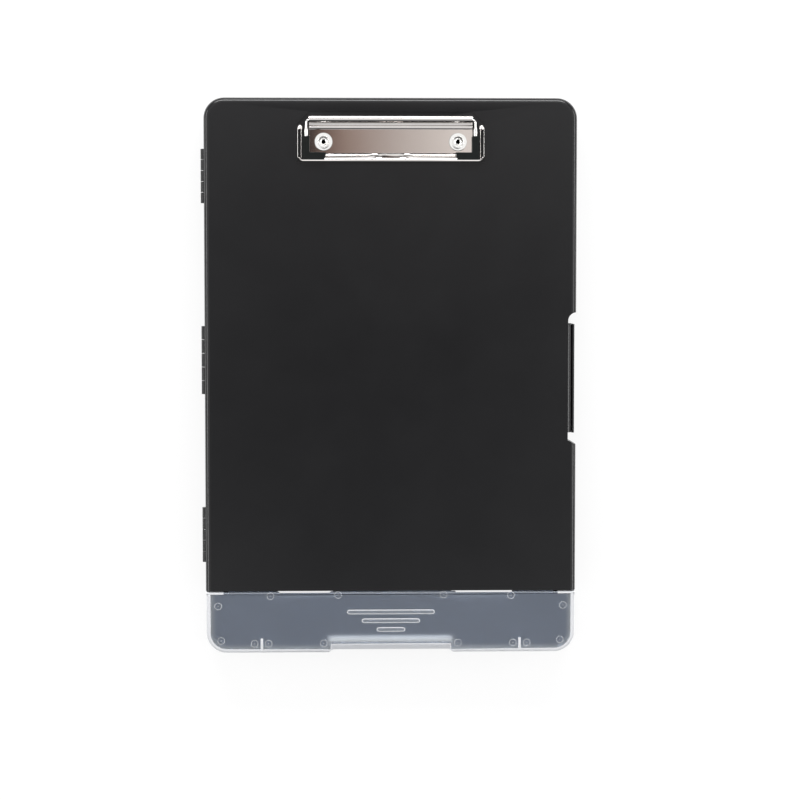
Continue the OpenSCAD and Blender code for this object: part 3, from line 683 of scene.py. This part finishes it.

# %% [markdown]
# ## The frosted lid
# A frosted lid isn't the same all over. Its broad panel is thin, so the dark tray shows through
# it. Its skirt and corner lugs, and a narrow border inset all round the panel, are seen along the
# plastic and look almost white; the lip over the finger notch lies between the two. So the
# softened copy is cut across where the look changes, each face is sorted by where it lies, and
# each part gets its own mix of clear and milky: paler, less clear copies of the one plastic,
# which paint the light that gathers in the border, skirt, lugs, lip and rib tops. The bars on the
# stiffening ribs and the rings that the mould's ejector pins left are added last, just above the
# panel, in the palest copy, which paints them bright.

# %% Lid measures and tests
LID_LOW, LID_HIGH = span("pen_lid")
LID_TOP = 29.6 * MM
LID_PANEL = 2 * MM
LUG_END, LUG_WIDE = 115.3 * MM, 1.9 * MM
BORDER = 0.7 * MM
NOTCH_HALF = 41 * MM
NOTCH_SOFT, NOTCH_REAR = -183 * MM, -184.9 * MM
LEVEL = 0.02 * MM
LID_LOOKS = {part: "frosted_" + part for part in ("panel", "rib", "lip", "edge")}
LID_LOOKS["panel"] = "frosted_plastic"


def on_panel(face):
    """Does a face lie in the panel's upper plane?"""
    return face.normal.z > 0.999 and abs(face.calc_center_median().z - LID_TOP) < LEVEL


def over_notch(face, line=NOTCH_REAR):
    """Is a face by the notch, in front of a line across the lid?"""
    at = face.calc_center_median()
    return at.y < line and abs(at.x) < NOTCH_HALF


def lid_part(face, border):
    """Which part of the lid a face belongs to: panel, rib, lip or edge; the rib, lip and edge
    parts take paler copies of the plastic, painted light.
    """
    at, turn = face.calc_center_median(), face.normal
    at_rear = at.y > LID_HIGH.y - LUG_WIDE
    if at_rear and abs(at.x) > LUG_END:
        return "edge"
    if over_notch(face):
        return "lip"
    if face[border] and at.y < LID_HIGH.y - 2 * LUG_WIDE:
        return "edge"
    if over_notch(face, NOTCH_SOFT) or at.z > LID_TOP + LEVEL:
        return "rib"
    # the rolled rear edge: its top takes the paler rib copy, a painted highlight, and the rest
    # belongs to the panel
    if at.y > LID_HIGH.y - 3.3 * MM and abs(at.x) < LUG_END and abs(turn.x) < 0.5:
        return "rib" if at_rear and at.z > LID_TOP - 0.8 * MM else "panel"
    # the bevel just below the panel's upper plane
    if turn.z > 0.9 and not on_panel(face) and at.z > LID_TOP - 0.5 * MM:
        return "edge"
    return "panel" if abs(turn.z) > 0.98 and at.z > LID_TOP - LID_PANEL - 0.1 * MM else "edge"


print("the lid is", round((LID_HIGH.x - LID_LOW.x) / MM, 1), "mm wide")

# %% Pen lid
GRIP_RIBS = (-162.3 * MM, -168.4 * MM, -174.5 * MM)  # the lines they lie on
RIB_REACH_X, RIB_REACH_Y = 33 * MM, 2.2 * MM
RIB_NARROWER = 0.68

lid_mesh = merged_copy("pen_lid")
soften(lid_mesh, 0.3 * MM, lambda edge: edge.is_convex)
for v in lid_mesh.verts:
    for rib_y in GRIP_RIBS:
        near = abs(v.co.y - rib_y) < RIB_REACH_Y and abs(v.co.x) < RIB_REACH_X
        if near and v.co.z > LID_TOP - 0.1 * MM:
            v.co.y = rib_y + RIB_NARROWER * (v.co.y - rib_y)
for y in (NOTCH_REAR, NOTCH_SOFT, LID_HIGH.y - LUG_WIDE):
    cut(lid_mesh, (0, y, 0), (0, 1, 0))
for x in (-LUG_END, -NOTCH_HALF, NOTCH_HALF, LUG_END):
    cut(lid_mesh, (x, 0, 0), (1, 0, 0))
border_layer = lid_mesh.faces.layers.int.new("border")
panel_top = [f for f in lid_mesh.faces if on_panel(f) and not over_notch(f)]
bmesh.ops.inset_region(
    lid_mesh, faces=panel_top, thickness=BORDER, depth=0, use_even_offset=False
)
border_faces = {f for f in lid_mesh.faces if on_panel(f)} - set(panel_top)
for face in border_faces:
    face[border_layer] = 1
print("the lid's pale border has", len(border_faces), "faces")
for part, look in LID_LOOKS.items():
    kept = lid_mesh.copy()
    border_layer = kept.faces.layers.int["border"]
    away = [face for face in kept.faces if lid_part(face, border_layer) != part]
    bmesh.ops.delete(kept, geom=away, context="FACES")
    even_shading(make_piece("pen_lid_" + part, kept, "lid", "frosted_plastic", ["pen_lid"], look))
lid_mesh.free()

# %% Ribs and marks inside the lid
MARK_TOP = LID_TOP + LEVEL
BAR_SIZE = Vector((2.1 * MM, 9 * MM, 1.4 * MM))
BAR_X, BAR_FRONT, BAR_SUNK = 89 * MM, LID_LOW.y + 1.2 * MM, 0.68 * MM
MARK_R, MARK_LINE = 2.5 * MM, 0.28 * MM
DOT_LOW_R, DOT_TOP_R, DOT_TALL = 0.35 * MM, 0.2 * MM, 0.06 * MM
MARKS = [
    (36.4, -150.4), (83, -151), (119, -158), (117, -182), (94, -184), (84.4, -184), (46.3, -184),
]  # places of the ejector marks in mm, on both sides of the middle


def stiffening_ribs():
    """A pale bar along the top of each stiffening rib, inside the panel: painted light that the
    rib gathers.
    """
    bm = bmesh.new()
    for side in (-1, 1):
        centre = (side * BAR_X, BAR_FRONT + BAR_SIZE.y / 2, MARK_TOP - BAR_SUNK)
        size = Matrix.Diagonal((*BAR_SIZE, 1))
        bmesh.ops.create_cube(bm, size=1, matrix=Matrix.Translation(centre) @ size)
    round_off(bm, bm.edges[:], 0.3 * MM, 3)
    make_piece("pen_lid_stiffeners", bm, "lid", "frosted_plastic", ["pen_lid"], "frosted_edge")


def ejector_marks():
    """Thin rings with a dot, where pins pushed the lid out of its mould."""
    bm = bmesh.new()
    for at in [(side * x * MM, y * MM, MARK_TOP) for x, y in MARKS for side in (-1, 1)]:
        there = Matrix.Translation(at)
        found = []
        for radius in (MARK_R, MARK_R - MARK_LINE):
            circle = bmesh.ops.create_circle(bm, segments=40, radius=radius, matrix=there)
            found += circle["verts"]
        bmesh.ops.bridge_loops(bm, edges=ring_edges(bm, found))
        bmesh.ops.create_cone(
            bm, cap_ends=True, segments=12, radius1=DOT_LOW_R, radius2=DOT_TOP_R, depth=DOT_TALL,
            matrix=there,
        )
    face_outward(bm)
    # the marks take the palest copy of the plastic, so their pale rings are painted light
    make_piece("pen_lid_marks", bm, "lid", "frosted_plastic", ["pen_lid"], "frosted_edge")


stiffening_ribs()
ejector_marks()

# %% [markdown]
# ## The clip's plate
# The plate is one strip of sheet steel. Two ridges stiffen it, and its rear edge is curled round
# into a roll that holds the spring wire. A strip like this is easiest to make as it is bent in a
# press: start with one edge as wide as the plate, push it along for each flat stretch, step it up
# and down for each ridge, and spin it about the roll's centre. Cuts round each rivet then free a
# small square that is taken out, so that the rivet's hole goes right through. Solidify gives the
# sheet its thickness. The last narrow stretch before the front ridge keeps the ridge's slope from
# shading the flat face.

# %% Strip helpers
RIDGE_STEPS, RIDGE_CROWN = 6, 0.12


def start_strip(bm, half, y, z):
    """One edge across the part, from -half to half, that a strip grows from."""
    return bm.edges.new([bm.verts.new((-half, y, z)), bm.verts.new((half, y, z))])


def grown(bm, edges, vector):
    """Extrudes some edges along a vector and returns the new vertices and edges."""
    made = bmesh.ops.extrude_edge_only(bm, edges=edges)["geom"]
    ends = only(made, bmesh.types.BMVert)
    bmesh.ops.translate(bm, verts=ends, vec=vector)
    return ends, only(made, bmesh.types.BMEdge)


def push(bm, edge, along, up):
    """Extrudes the strip's last edge and returns the new one."""
    ends, edges = grown(bm, [edge], (0, along, up))
    return next(e for e in edges if all(v in ends for v in e.verts))


def ridge(bm, edge, front, top, rear, height):
    """A pressed ridge across the strip: a slope up, a crowned top and a slope down."""
    edge = push(bm, edge, front, height)
    crown = RIDGE_CROWN * top
    for i in range(RIDGE_STEPS):
        rise = crown * ((1 - 2 * i / RIDGE_STEPS) ** 2 - (1 - 2 * (i + 1) / RIDGE_STEPS) ** 2)
        edge = push(bm, edge, top / RIDGE_STEPS, rise)
    return push(bm, edge, rear, -height)


def thicken(piece, thickness, offset, soft):
    """Gives a sheet its thickness and a small softened edge."""
    solid = piece.modifiers.new("sheet", "SOLIDIFY")
    solid.thickness = thickness
    solid.offset = offset
    edge = piece.modifiers.new("soft_edge", "BEVEL")
    edge.width = soft
    edge.segments = 2
    edge.limit_method = "ANGLE"
    edge.angle_limit = SHARP
    even_shading(piece)


# %% Plate
PLATE_LOW, PLATE_HIGH = span("clip_plate")
SHEET = 0.7 * MM
ROLL_R = 2.3 * MM
ROLL_TURN, ROLL_STEPS = radians(285), 28
ROLL_CENTRE = Vector((0, PLATE_HIGH.y - ROLL_R, PLATE_LOW.z + ROLL_R))
REAR_RIDGE = (0.45 * MM, 1.5 * MM, 0.3 * MM, 0.5 * MM)  # front slope, top, rear slope and height
FRONT_RIDGE = (0.8 * MM, 0.9 * MM, 0.3 * MM, 0.35 * MM)
REAR_RIDGE_Y = ROLL_CENTRE.y - 3.75 * MM  # where the top begins
FRONT_RIDGE_Y = ROLL_CENTRE.y - 5.85 * MM
CALM = 0.3 * MM  # the narrow stretch before the front ridge
RIVET_HOLE = 1.6 * MM

plate_mesh = bmesh.new()
edge = start_strip(plate_mesh, PLATE_HIGH.x, PLATE_LOW.y, PLATE_LOW.z)
flat_end = FRONT_RIDGE_Y - FRONT_RIDGE[0]
edge = push(plate_mesh, edge, flat_end - CALM - PLATE_LOW.y, 0)
edge = push(plate_mesh, edge, CALM, 0)
edge = ridge(plate_mesh, edge, *FRONT_RIDGE)
edge = push(plate_mesh, edge, REAR_RIDGE_Y - REAR_RIDGE[0] - middle(edge).y, 0)
edge = ridge(plate_mesh, edge, *REAR_RIDGE)
edge = push(plate_mesh, edge, ROLL_CENTRE.y - middle(edge).y, 0)
bmesh.ops.spin(
    plate_mesh, geom=[edge, *edge.verts], cent=ROLL_CENTRE, axis=(1, 0, 0),
    angle=ROLL_TURN, steps=ROLL_STEPS,
)
face_outward(plate_mesh)


def open_under(bm, node):
    """Takes out a square of the sheet under a rivet."""
    low, high = span(node)
    centre = (low + high) / 2
    for facing in (Vector((1, 0, 0)), Vector((0, 1, 0))):
        for sign in (-1, 1):
            cut(bm, centre + sign * RIVET_HOLE * facing, facing)
    offs = {face: face.calc_center_median() - centre for face in bm.faces}
    opened = [f for f, off in offs.items() if max(abs(off.x), abs(off.y)) < RIVET_HOLE]
    bmesh.ops.delete(bm, geom=opened, context="FACES")


for side_name in ("left", "right"):
    open_under(plate_mesh, "clip_rivet_" + side_name)
faces_up = plate_mesh.faces[:][0].normal.z > 0
plate = make_piece(
    "clip_plate_sheet", plate_mesh, "cover", "clip_chrome", ["clip_plate"], crease=SHEET_CREASE
)
thicken(plate, SHEET, 1.0 if faces_up else -1.0, 0.12 * MM)

# %% [markdown]
# ## The spring wire
# One length of round wire runs through the roll, turns forward at each side and comes back along
# the front, under the corner grips. At each side it wears a crimped sleeve. A circle is pushed
# along the straights, spun round the bends and widened for the sleeve, for one half, and the half
# is mirrored.

# %% Swept shapes
def sweep_straight(bm, ring, vector):
    """Pushes a ring of vertices along a straight line and returns the new ring."""
    return grown(bm, ring_edges(bm, ring), vector)[0]


def sweep_bend(bm, ring, centre, angle, steps):
    """Spins a ring of vertices round a level bend and returns the new ring."""
    geom = [*ring, *ring_edges(bm, ring)]
    spun = bmesh.ops.spin(bm, geom=geom, cent=centre, axis=(0, 0, 1), angle=angle, steps=steps)
    return only(spun["geom_last"], bmesh.types.BMVert)


def widen(ring, centre, factor):
    """Scales a ring of vertices about its centre, within its own plane."""
    for v in ring:
        v.co = centre + (v.co - centre) * factor


def mirror_across(bm):
    """Adds the other half of a piece, across the middle of the case, and joins the two."""
    bmesh.ops.mirror(bm, geom=[*bm.verts, *bm.edges, *bm.faces], axis="X", merge_dist=MERGE)
    bmesh.ops.remove_doubles(bm, verts=bm.verts[:], dist=MERGE)
    face_outward(bm)


# %% Wire
WIRE_LOW, WIRE_HIGH = span("clip_wire")
WIRE_AXIS = Vector(joints["jaw_hinge"]["pos_m"])
WIRE_R = 0.8 * MM
WIRE_BEND, BEND_STEPS = 1.8 * MM, 8
WIRE_TIP_X = 44.9 * MM
SLEEVE_R = (WIRE_HIGH.z - WIRE_LOW.z) / 2
SLEEVE_LIP, SLEEVE_TAPER = 0.15 * MM, 0.2 * MM
SLEEVE_REAR_Y = 169.4 * MM
SIDE_X = WIRE_HIGH.x - SLEEVE_R
BEND_X = SIDE_X - WIRE_BEND
REAR_BEND_Y = WIRE_AXIS.y - WIRE_BEND
FRONT_BEND_Y = WIRE_LOW.y + WIRE_R + WIRE_BEND
SLEEVE_FRONT_Y = FRONT_BEND_Y + 0.5 * MM

wire_mesh = bmesh.new()
upright = Matrix.Translation(WIRE_AXIS) @ Matrix.Rotation(radians(90), 4, "Y")
ring = bmesh.ops.create_circle(wire_mesh, segments=20, radius=WIRE_R, matrix=upright)["verts"]
ring = sweep_straight(wire_mesh, ring, (BEND_X, 0, 0))
ring = sweep_bend(wire_mesh, ring, (BEND_X, REAR_BEND_Y, 0), radians(-90), BEND_STEPS)
ring = sweep_straight(wire_mesh, ring, (0, SLEEVE_REAR_Y - REAR_BEND_Y, 0))
# the crimped sleeve: the ring steps out, runs under the grip and steps in again
for radius in (SLEEVE_R - SLEEVE_LIP, SLEEVE_R):
    ring = sweep_straight(wire_mesh, ring, (0, -SLEEVE_LIP, 0))
    centre = Vector((SIDE_X, ring[0].co.y, WIRE_AXIS.z))
    widen(ring, centre, radius / (ring[0].co - centre).length)
ring = sweep_straight(wire_mesh, ring, (0, SLEEVE_FRONT_Y - ring[0].co.y, 0))
ring = sweep_straight(wire_mesh, ring, (0, -SLEEVE_TAPER, 0))
widen(ring, Vector((SIDE_X, ring[0].co.y, WIRE_AXIS.z)), WIRE_R / SLEEVE_R)
ring = sweep_straight(wire_mesh, ring, (0, FRONT_BEND_Y - ring[0].co.y, 0))
ring = sweep_bend(wire_mesh, ring, (BEND_X, FRONT_BEND_Y, 0), radians(-90), BEND_STEPS)
ring = sweep_straight(wire_mesh, ring, (WIRE_TIP_X - BEND_X, 0, 0))
wire_mesh.faces.new(ring)
mirror_across(wire_mesh)
make_piece("spring_wire", wire_mesh, "jaw", "wire_steel", ["clip_wire"])

# %% [markdown]
# ## The jaw
# The jaw is folded from a second sheet so that it can't flex. Each side stands up as a narrow
# channel: two thin walls, joined at the rear by a round cap. The outer wall runs on round the
# front corner, where it widens and sinks into the lip that presses on the paper. Behind the lip
# the front bar has two grooves, a ridge along its rear edge and a thumb tab pressed up in the
# middle. A wall is a ring swept along its path and scaled at each step round the corner; the
# front bar is a strip, as the plate is.

# %% Jaw measures and section
JAW_LOW, JAW_HIGH = span("clip_jaw")
WALL_WIDE, WALL_TALL = 0.28 * MM, JAW_HIGH.z - JAW_LOW.z
WALL_GAP = 2.7 * MM
LIP_WIDE, LIP_TALL, LIP_CROWN = 2.0 * MM, 1.7 * MM, 0.3 * MM
JAW_CORNER = 3.5 * MM
CAP_REAR, CAP_LONG, CAP_WIDE, CAP_ROUND = 171.9 * MM, 4.0 * MM, 3.4 * MM, 1.65 * MM
CAP_MIDDLE = CAP_REAR - CAP_LONG / 2
TURN_STEPS = 10
QUARTER = radians(-90)


def wall_section(bm, outer_x):
    """A ring for a wall, flat below and round on top, in the plane across the case."""
    half = WALL_WIDE / 2
    round_z = JAW_LOW.z + WALL_TALL - half
    there = Matrix.Translation((outer_x - half, CAP_MIDDLE, round_z))
    there @= Matrix.Rotation(radians(90), 4, "X")
    ring = bmesh.ops.create_circle(bm, segments=20, radius=half, matrix=there)["verts"]
    for v in ring:
        if v.co.z < round_z - MERGE:
            v.co.z = JAW_LOW.z + (v.co.z - round_z + half) * 0.15
    return ring


def corner_wide(step):
    """The wall's width after some steps round the corner; it is full before the corner ends."""
    return WALL_WIDE + (LIP_WIDE - WALL_WIDE) * min(1.0, 1.6 * step / TURN_STEPS)


print("the jaw stands", round(WALL_TALL / MM, 2), "mm tall")

# %% Jaw walls and lip
hem_mesh = bmesh.new()
corner = Vector((JAW_HIGH.x - JAW_CORNER, JAW_LOW.y + JAW_CORNER, 0))
ring = wall_section(hem_mesh, JAW_HIGH.x)
ring = sweep_straight(hem_mesh, ring, (0, corner.y - CAP_MIDDLE, 0))
lower = (LIP_TALL / WALL_TALL) ** (1 / TURN_STEPS)
for step in range(1, TURN_STEPS + 1):
    ring = sweep_bend(hem_mesh, ring, corner, QUARTER / TURN_STEPS, 1)
    angle = QUARTER * step / TURN_STEPS
    outward = Vector((cos(angle), sin(angle), 0))
    foot = corner + JAW_CORNER * outward
    foot.z = JAW_LOW.z
    wider = corner_wide(step) / corner_wide(step - 1)
    for v in ring:
        reach = (v.co - foot).dot(outward)
        v.co += outward * reach * (wider - 1)
        v.co.z = foot.z + (v.co.z - foot.z) * lower
        if v.co.z > foot.z + LIP_TALL / 2:
            off = 2 * reach * wider / corner_wide(step) + 1
            v.co.z += LIP_CROWN / TURN_STEPS * (1 - off * off)
sweep_straight(hem_mesh, ring, (-corner.x, 0, 0))
# the inner wall is straight, from the cap to the front bar
ring = wall_section(hem_mesh, JAW_HIGH.x - WALL_GAP + WALL_WIDE)
ring = sweep_straight(hem_mesh, ring, (0, corner.y - CAP_MIDDLE, 0))
ring = sweep_straight(hem_mesh, ring, (0, -1.2 * MM, -0.6 * MM))
hem_mesh.faces.new(ring)
# the rear cap is a block rounded on every side
cap_at = Matrix.Translation((JAW_HIGH.x - CAP_WIDE / 2, CAP_MIDDLE, (JAW_LOW.z + JAW_HIGH.z) / 2))
cap_size = Matrix.Diagonal((CAP_WIDE, CAP_LONG, WALL_TALL, 1))
cap = bmesh.ops.create_cube(hem_mesh, size=1, matrix=cap_at @ cap_size)["verts"]
round_off(hem_mesh, list({e for v in cap for e in v.link_edges}), CAP_ROUND, 8)
mirror_across(hem_mesh)
make_piece("jaw_hem", hem_mesh, "jaw", "clip_chrome", ["clip_jaw"])

# %% Jaw bar
BAR_SHEET, BAR_SOFT = 0.6 * MM, 0.08 * MM
BAR_TOP = JAW_LOW.z + 1.0 * MM
BAR_HALF, BAR_START = 59.5 * MM, JAW_LOW.y + 1.6 * MM
BAR_STEPS = [(0.35, -0.40), (0.35, 0.20), (1.05, 0.0), (0.18, -0.35), (0.18, 0.0), (0.18, 0.35)]
BAR_RIDGE = (0.3 * MM, 0.6 * MM, 0.3 * MM, 0.3 * MM)
TAB_HALF, TAB_FLAT, TAB_TALL = 15.4 * MM, 5.8 * MM, 1.0 * MM
TAB_FRONT, TAB_SLOPE = 150.3 * MM, 0.8 * MM

bar_mesh = bmesh.new()
edge = start_strip(bar_mesh, BAR_HALF, BAR_START, BAR_TOP + 0.2 * MM)
for along, up in BAR_STEPS:
    edge = push(bar_mesh, edge, along * MM, up * MM)
ridge(bar_mesh, edge, *BAR_RIDGE)
for x in (-TAB_HALF, -TAB_FLAT, TAB_FLAT, TAB_HALF):
    cut(bar_mesh, (x, 0, 0), (1, 0, 0))
for v in bar_mesh.verts:
    if abs(v.co.x) < TAB_FLAT + MERGE and v.co.y > TAB_FRONT - 0.7 * MM:
        v.co.z = BAR_TOP + TAB_TALL * min(1.0, (v.co.y - TAB_FRONT + TAB_SLOPE) / TAB_SLOPE)
face_outward(bar_mesh)
faces_up = sum(face.normal.z for face in bar_mesh.faces) > 0
bar = make_piece("jaw_bar", bar_mesh, "jaw", "clip_chrome", ["clip_jaw"])
thicken(bar, BAR_SHEET, -1.0 if faces_up else 1.0, BAR_SOFT)

# %% [markdown]
# ## The corner grips
# Black vinyl caps keep the wire's corners from scratching the board. Each is a flat-topped L: one
# corner square, an arm pushed out of two of its sides, and the whole plan raised to its height.
# Then the upright corner is rounded and the top edge gets a narrow slope that catches a line of
# light.

# %% Grips
GRIP_LOW, GRIP_HIGH = span("clip_grip_right")
GRIP_WIDE, GRIP_TALL = 4.8 * MM, GRIP_HIGH.z - GRIP_LOW.z
GRIP_SLANT = 1.1 * MM
GRIP_BEND, GRIP_SIDE, GRIP_RIM = 1.6 * MM, 0.5 * MM, 0.35 * MM


def grip_plan(bm):
    """The grip's flat L: a corner square and its two arms, the front one cut at a slant."""
    low, high, wide = GRIP_LOW, GRIP_HIGH, GRIP_WIDE
    centre = Vector((high.x - wide / 2, low.y + wide / 2, low.z))
    there = Matrix.Translation(centre)
    bmesh.ops.create_grid(bm, x_segments=1, y_segments=1, size=wide / 2, matrix=there)
    rear = [e for e in bm.edges if middle(e).y > centre.y + wide / 4]
    inner = [e for e in bm.edges if middle(e).x < centre.x - wide / 4]
    grown(bm, rear, (0, high.y - low.y - wide, 0))
    for v in grown(bm, inner, (low.x - high.x + wide, 0, 0))[0]:
        if v.co.y < centre.y:
            v.co.x += GRIP_SLANT


def corner_grip(side_name):
    """An L-shaped grip over one corner of the wire."""
    bm = bmesh.new()
    grip_plan(bm)
    upper = bmesh.ops.extrude_face_region(bm, geom=bm.faces[:])["geom"]
    bmesh.ops.translate(bm, verts=only(upper, bmesh.types.BMVert), vec=(0, 0, GRIP_TALL))
    face_outward(bm)
    upright = [e for e in bm.edges if abs(e.verts[0].co.z - e.verts[1].co.z) > GRIP_TALL / 2]
    corner_line = Vector((GRIP_HIGH.x, GRIP_LOW.y))
    bend = [e for e in upright if (middle(e).xy - corner_line).length < MERGE]
    others = [e for e in upright if e not in bend]
    for edges, radius, steps in ((bend, GRIP_BEND, 6), (others, GRIP_SIDE, 3)):
        round_off(bm, [e for e in edges if e.is_valid], radius, steps)
    at_top = [e for e in bm.edges if middle(e).z > GRIP_HIGH.z - MERGE]
    round_off(bm, [e for e in at_top if e.calc_face_angle(0) > SHARP], GRIP_RIM)
    if side_name == "left":
        bmesh.ops.scale(bm, verts=bm.verts[:], vec=(-1, 1, 1))
        bmesh.ops.reverse_faces(bm, faces=bm.faces[:])
    node = "clip_grip_" + side_name
    even_shading(make_piece("grip_" + side_name, bm, "jaw", "grip_plastic", [node]))


corner_grip("right")
corner_grip("left")

# %% [markdown]
# ## The rivets and washers
# A hollow rivet holds each end of the plate, and a washer spreads its pull inside the board. Both
# are turned shapes, so each is drawn as half of its section and spun once round.

# %% Turned shapes
TURNED_STEPS = 64


def turned(section, centre):
    """A closed half section of (radius, height) points spun round an upright line."""
    bm = bmesh.new()
    ring = [bm.verts.new((centre.x + r, centre.y, z)) for r, z in section]
    edges = [bm.edges.new((ring[i - 1], ring[i])) for i in range(len(ring))]
    bmesh.ops.spin(
        bm, geom=[*ring, *edges], cent=centre, axis=(0, 0, 1), angle=2 * pi,
        steps=TURNED_STEPS, use_merge=True,
    )
    bmesh.ops.remove_doubles(bm, verts=bm.verts[:], dist=MERGE / 2)
    face_outward(bm)
    return bm


def arc(centre_r, centre_z, radius, start, end, steps):
    """Points along an arc of a section, by degrees from outwards towards up."""
    for i in range(steps + 1):
        angle = radians(start + (end - start) * i / steps)
        yield centre_r + radius * cos(angle), centre_z + radius * sin(angle)


# %% Rivets and washers
HOLE_R, SHANK_R, RIM_R = 1.4 * MM, 1.9 * MM, 2.4 * MM
TAIL_R, TAIL_THICK = 3.9 * MM, 0.6 * MM
BROW_R, BROW_ROUND = 3.9 * MM, 0.3 * MM  # where the sloping flange turns down into the dish
RIM_ROUND = 0.5 * MM
WASHER_HOLE, WASHER_CHAMFER = 1.9 * MM, 0.15 * MM


def rivet(side_name):
    """A hollow rivet with a domed flange, a dished middle and a raised rim."""
    low, high = span("clip_rivet_" + side_name)
    centre = (low + high) / 2
    flange_r = high.x - centre.x
    top, seat = high.z, PLATE_LOW.z + SHEET
    section = [
        # the tail inside the board, and the shank
        (HOLE_R, low.z), (TAIL_R, low.z), (TAIL_R, low.z + TAIL_THICK),
        (SHANK_R, low.z + TAIL_THICK), (SHANK_R, seat),
        # the flange, from its edge up over the dome
        (flange_r - 0.15 * MM, seat), (flange_r, seat + 0.12 * MM),
        (flange_r - 0.05 * MM, seat + 0.25 * MM), (flange_r - 0.35 * MM, top - 0.27 * MM),
        (flange_r - 1.1 * MM, top - 0.14 * MM), (BROW_R + 0.4 * MM, top - 0.05 * MM),
        # the brow, the dish and the rim round the hole
        *arc(BROW_R, top - BROW_ROUND, BROW_ROUND, 70, 180, 5),
        (BROW_R - 0.45 * MM, top - 0.95 * MM), (RIM_R + 0.35 * MM, top - 1.0 * MM),
        (RIM_R, top - 0.9 * MM), *arc(RIM_R - RIM_ROUND, top - RIM_ROUND, RIM_ROUND, 0, 180, 8),
    ]
    bm = turned(section, centre)
    node = "clip_rivet_" + side_name
    make_piece("rivet_" + side_name, bm, "cover", "rivet_nickel", [node], crease=SHEET_CREASE)


def washer(side_name):
    """A flat washer with a rolled outer edge and a chamfered hole."""
    low, high = span("rivet_washer_" + side_name)
    centre = (low + high) / 2
    outer, round_r = high.x - centre.x, (high.z - low.z) / 2
    wide, hole = WASHER_HOLE + WASHER_CHAMFER, WASHER_HOLE
    section = [
        (wide, low.z), *arc(outer - round_r, centre.z, round_r, -90, 90, 8), (wide, high.z),
        (hole, high.z - WASHER_CHAMFER), (hole, low.z + WASHER_CHAMFER),
    ]
    bm = turned(section, centre)
    make_piece("washer_" + side_name, bm, "cover", "rivet_nickel", ["rivet_washer_" + side_name])


for side_name in ("left", "right"):
    rivet(side_name)
    washer(side_name)

# %% [markdown]
# ## The hinge pins
# Steel pins run through the three side hinges, the lid's two corner lugs and the latch. Little of
# them shows, but each is a rod with chamfered ends that are dished where a tool pressed it home.

# %% Pins
PIN_CHAMFER, PIN_RING, PIN_DISH = 0.3, 0.25, 0.12  # as shares of the pin's radius
ALONG_X, ALONG_Y = 0, 1


def pin(node, body, axis):
    """A steel pin with chamfered ends, each dished inside a narrow ring."""
    low, high = span(node)
    size = high - low
    radius = min(size) / 2
    lie = Matrix.Rotation(radians(90), 4, "Y" if axis == ALONG_X else "X")
    bm = bmesh.new()
    bmesh.ops.create_cone(
        bm, cap_ends=True, segments=24, radius1=radius, radius2=radius, depth=size[axis],
        matrix=Matrix.Translation((low + high) / 2) @ lie,
    )
    ends = [e for e in bm.edges if abs((e.verts[0].co - e.verts[1].co)[axis]) < MERGE]
    round_off(bm, ends, PIN_CHAMFER * radius)
    caps = [f for f in bm.faces if len(f.verts) > 8]
    bmesh.ops.inset_region(
        bm, faces=caps, thickness=PIN_RING * radius, depth=-PIN_DISH * radius
    )
    make_piece(node + "_rod", bm, body, "pin_steel", [node])


for name in ("hinge_pin_top", "hinge_pin_middle", "hinge_pin_bottom", "latch_pin"):
    pin(name, "base", ALONG_Y)
for name in ("pen_lid_pin_left", "pen_lid_pin_right"):
    pin(name, "base", ALONG_X)

# %% [markdown]
# ## Size and colour handling
# The last step notes the size of the frame's parts and of the finished model, which should agree,
# and sets plain colour handling, so that a colour renders as it was written.

# %% Size and colour handling
VISUAL_BOX = [[float(x) for x in corner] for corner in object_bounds()]
for name, box in (("CAD", CAD_BOX), ("visual", VISUAL_BOX)):
    print(name, "box in mm:", [[round(x / MM, 1) for x in corner] for corner in box])
bpy.context.scene.view_settings.view_transform = "Standard"
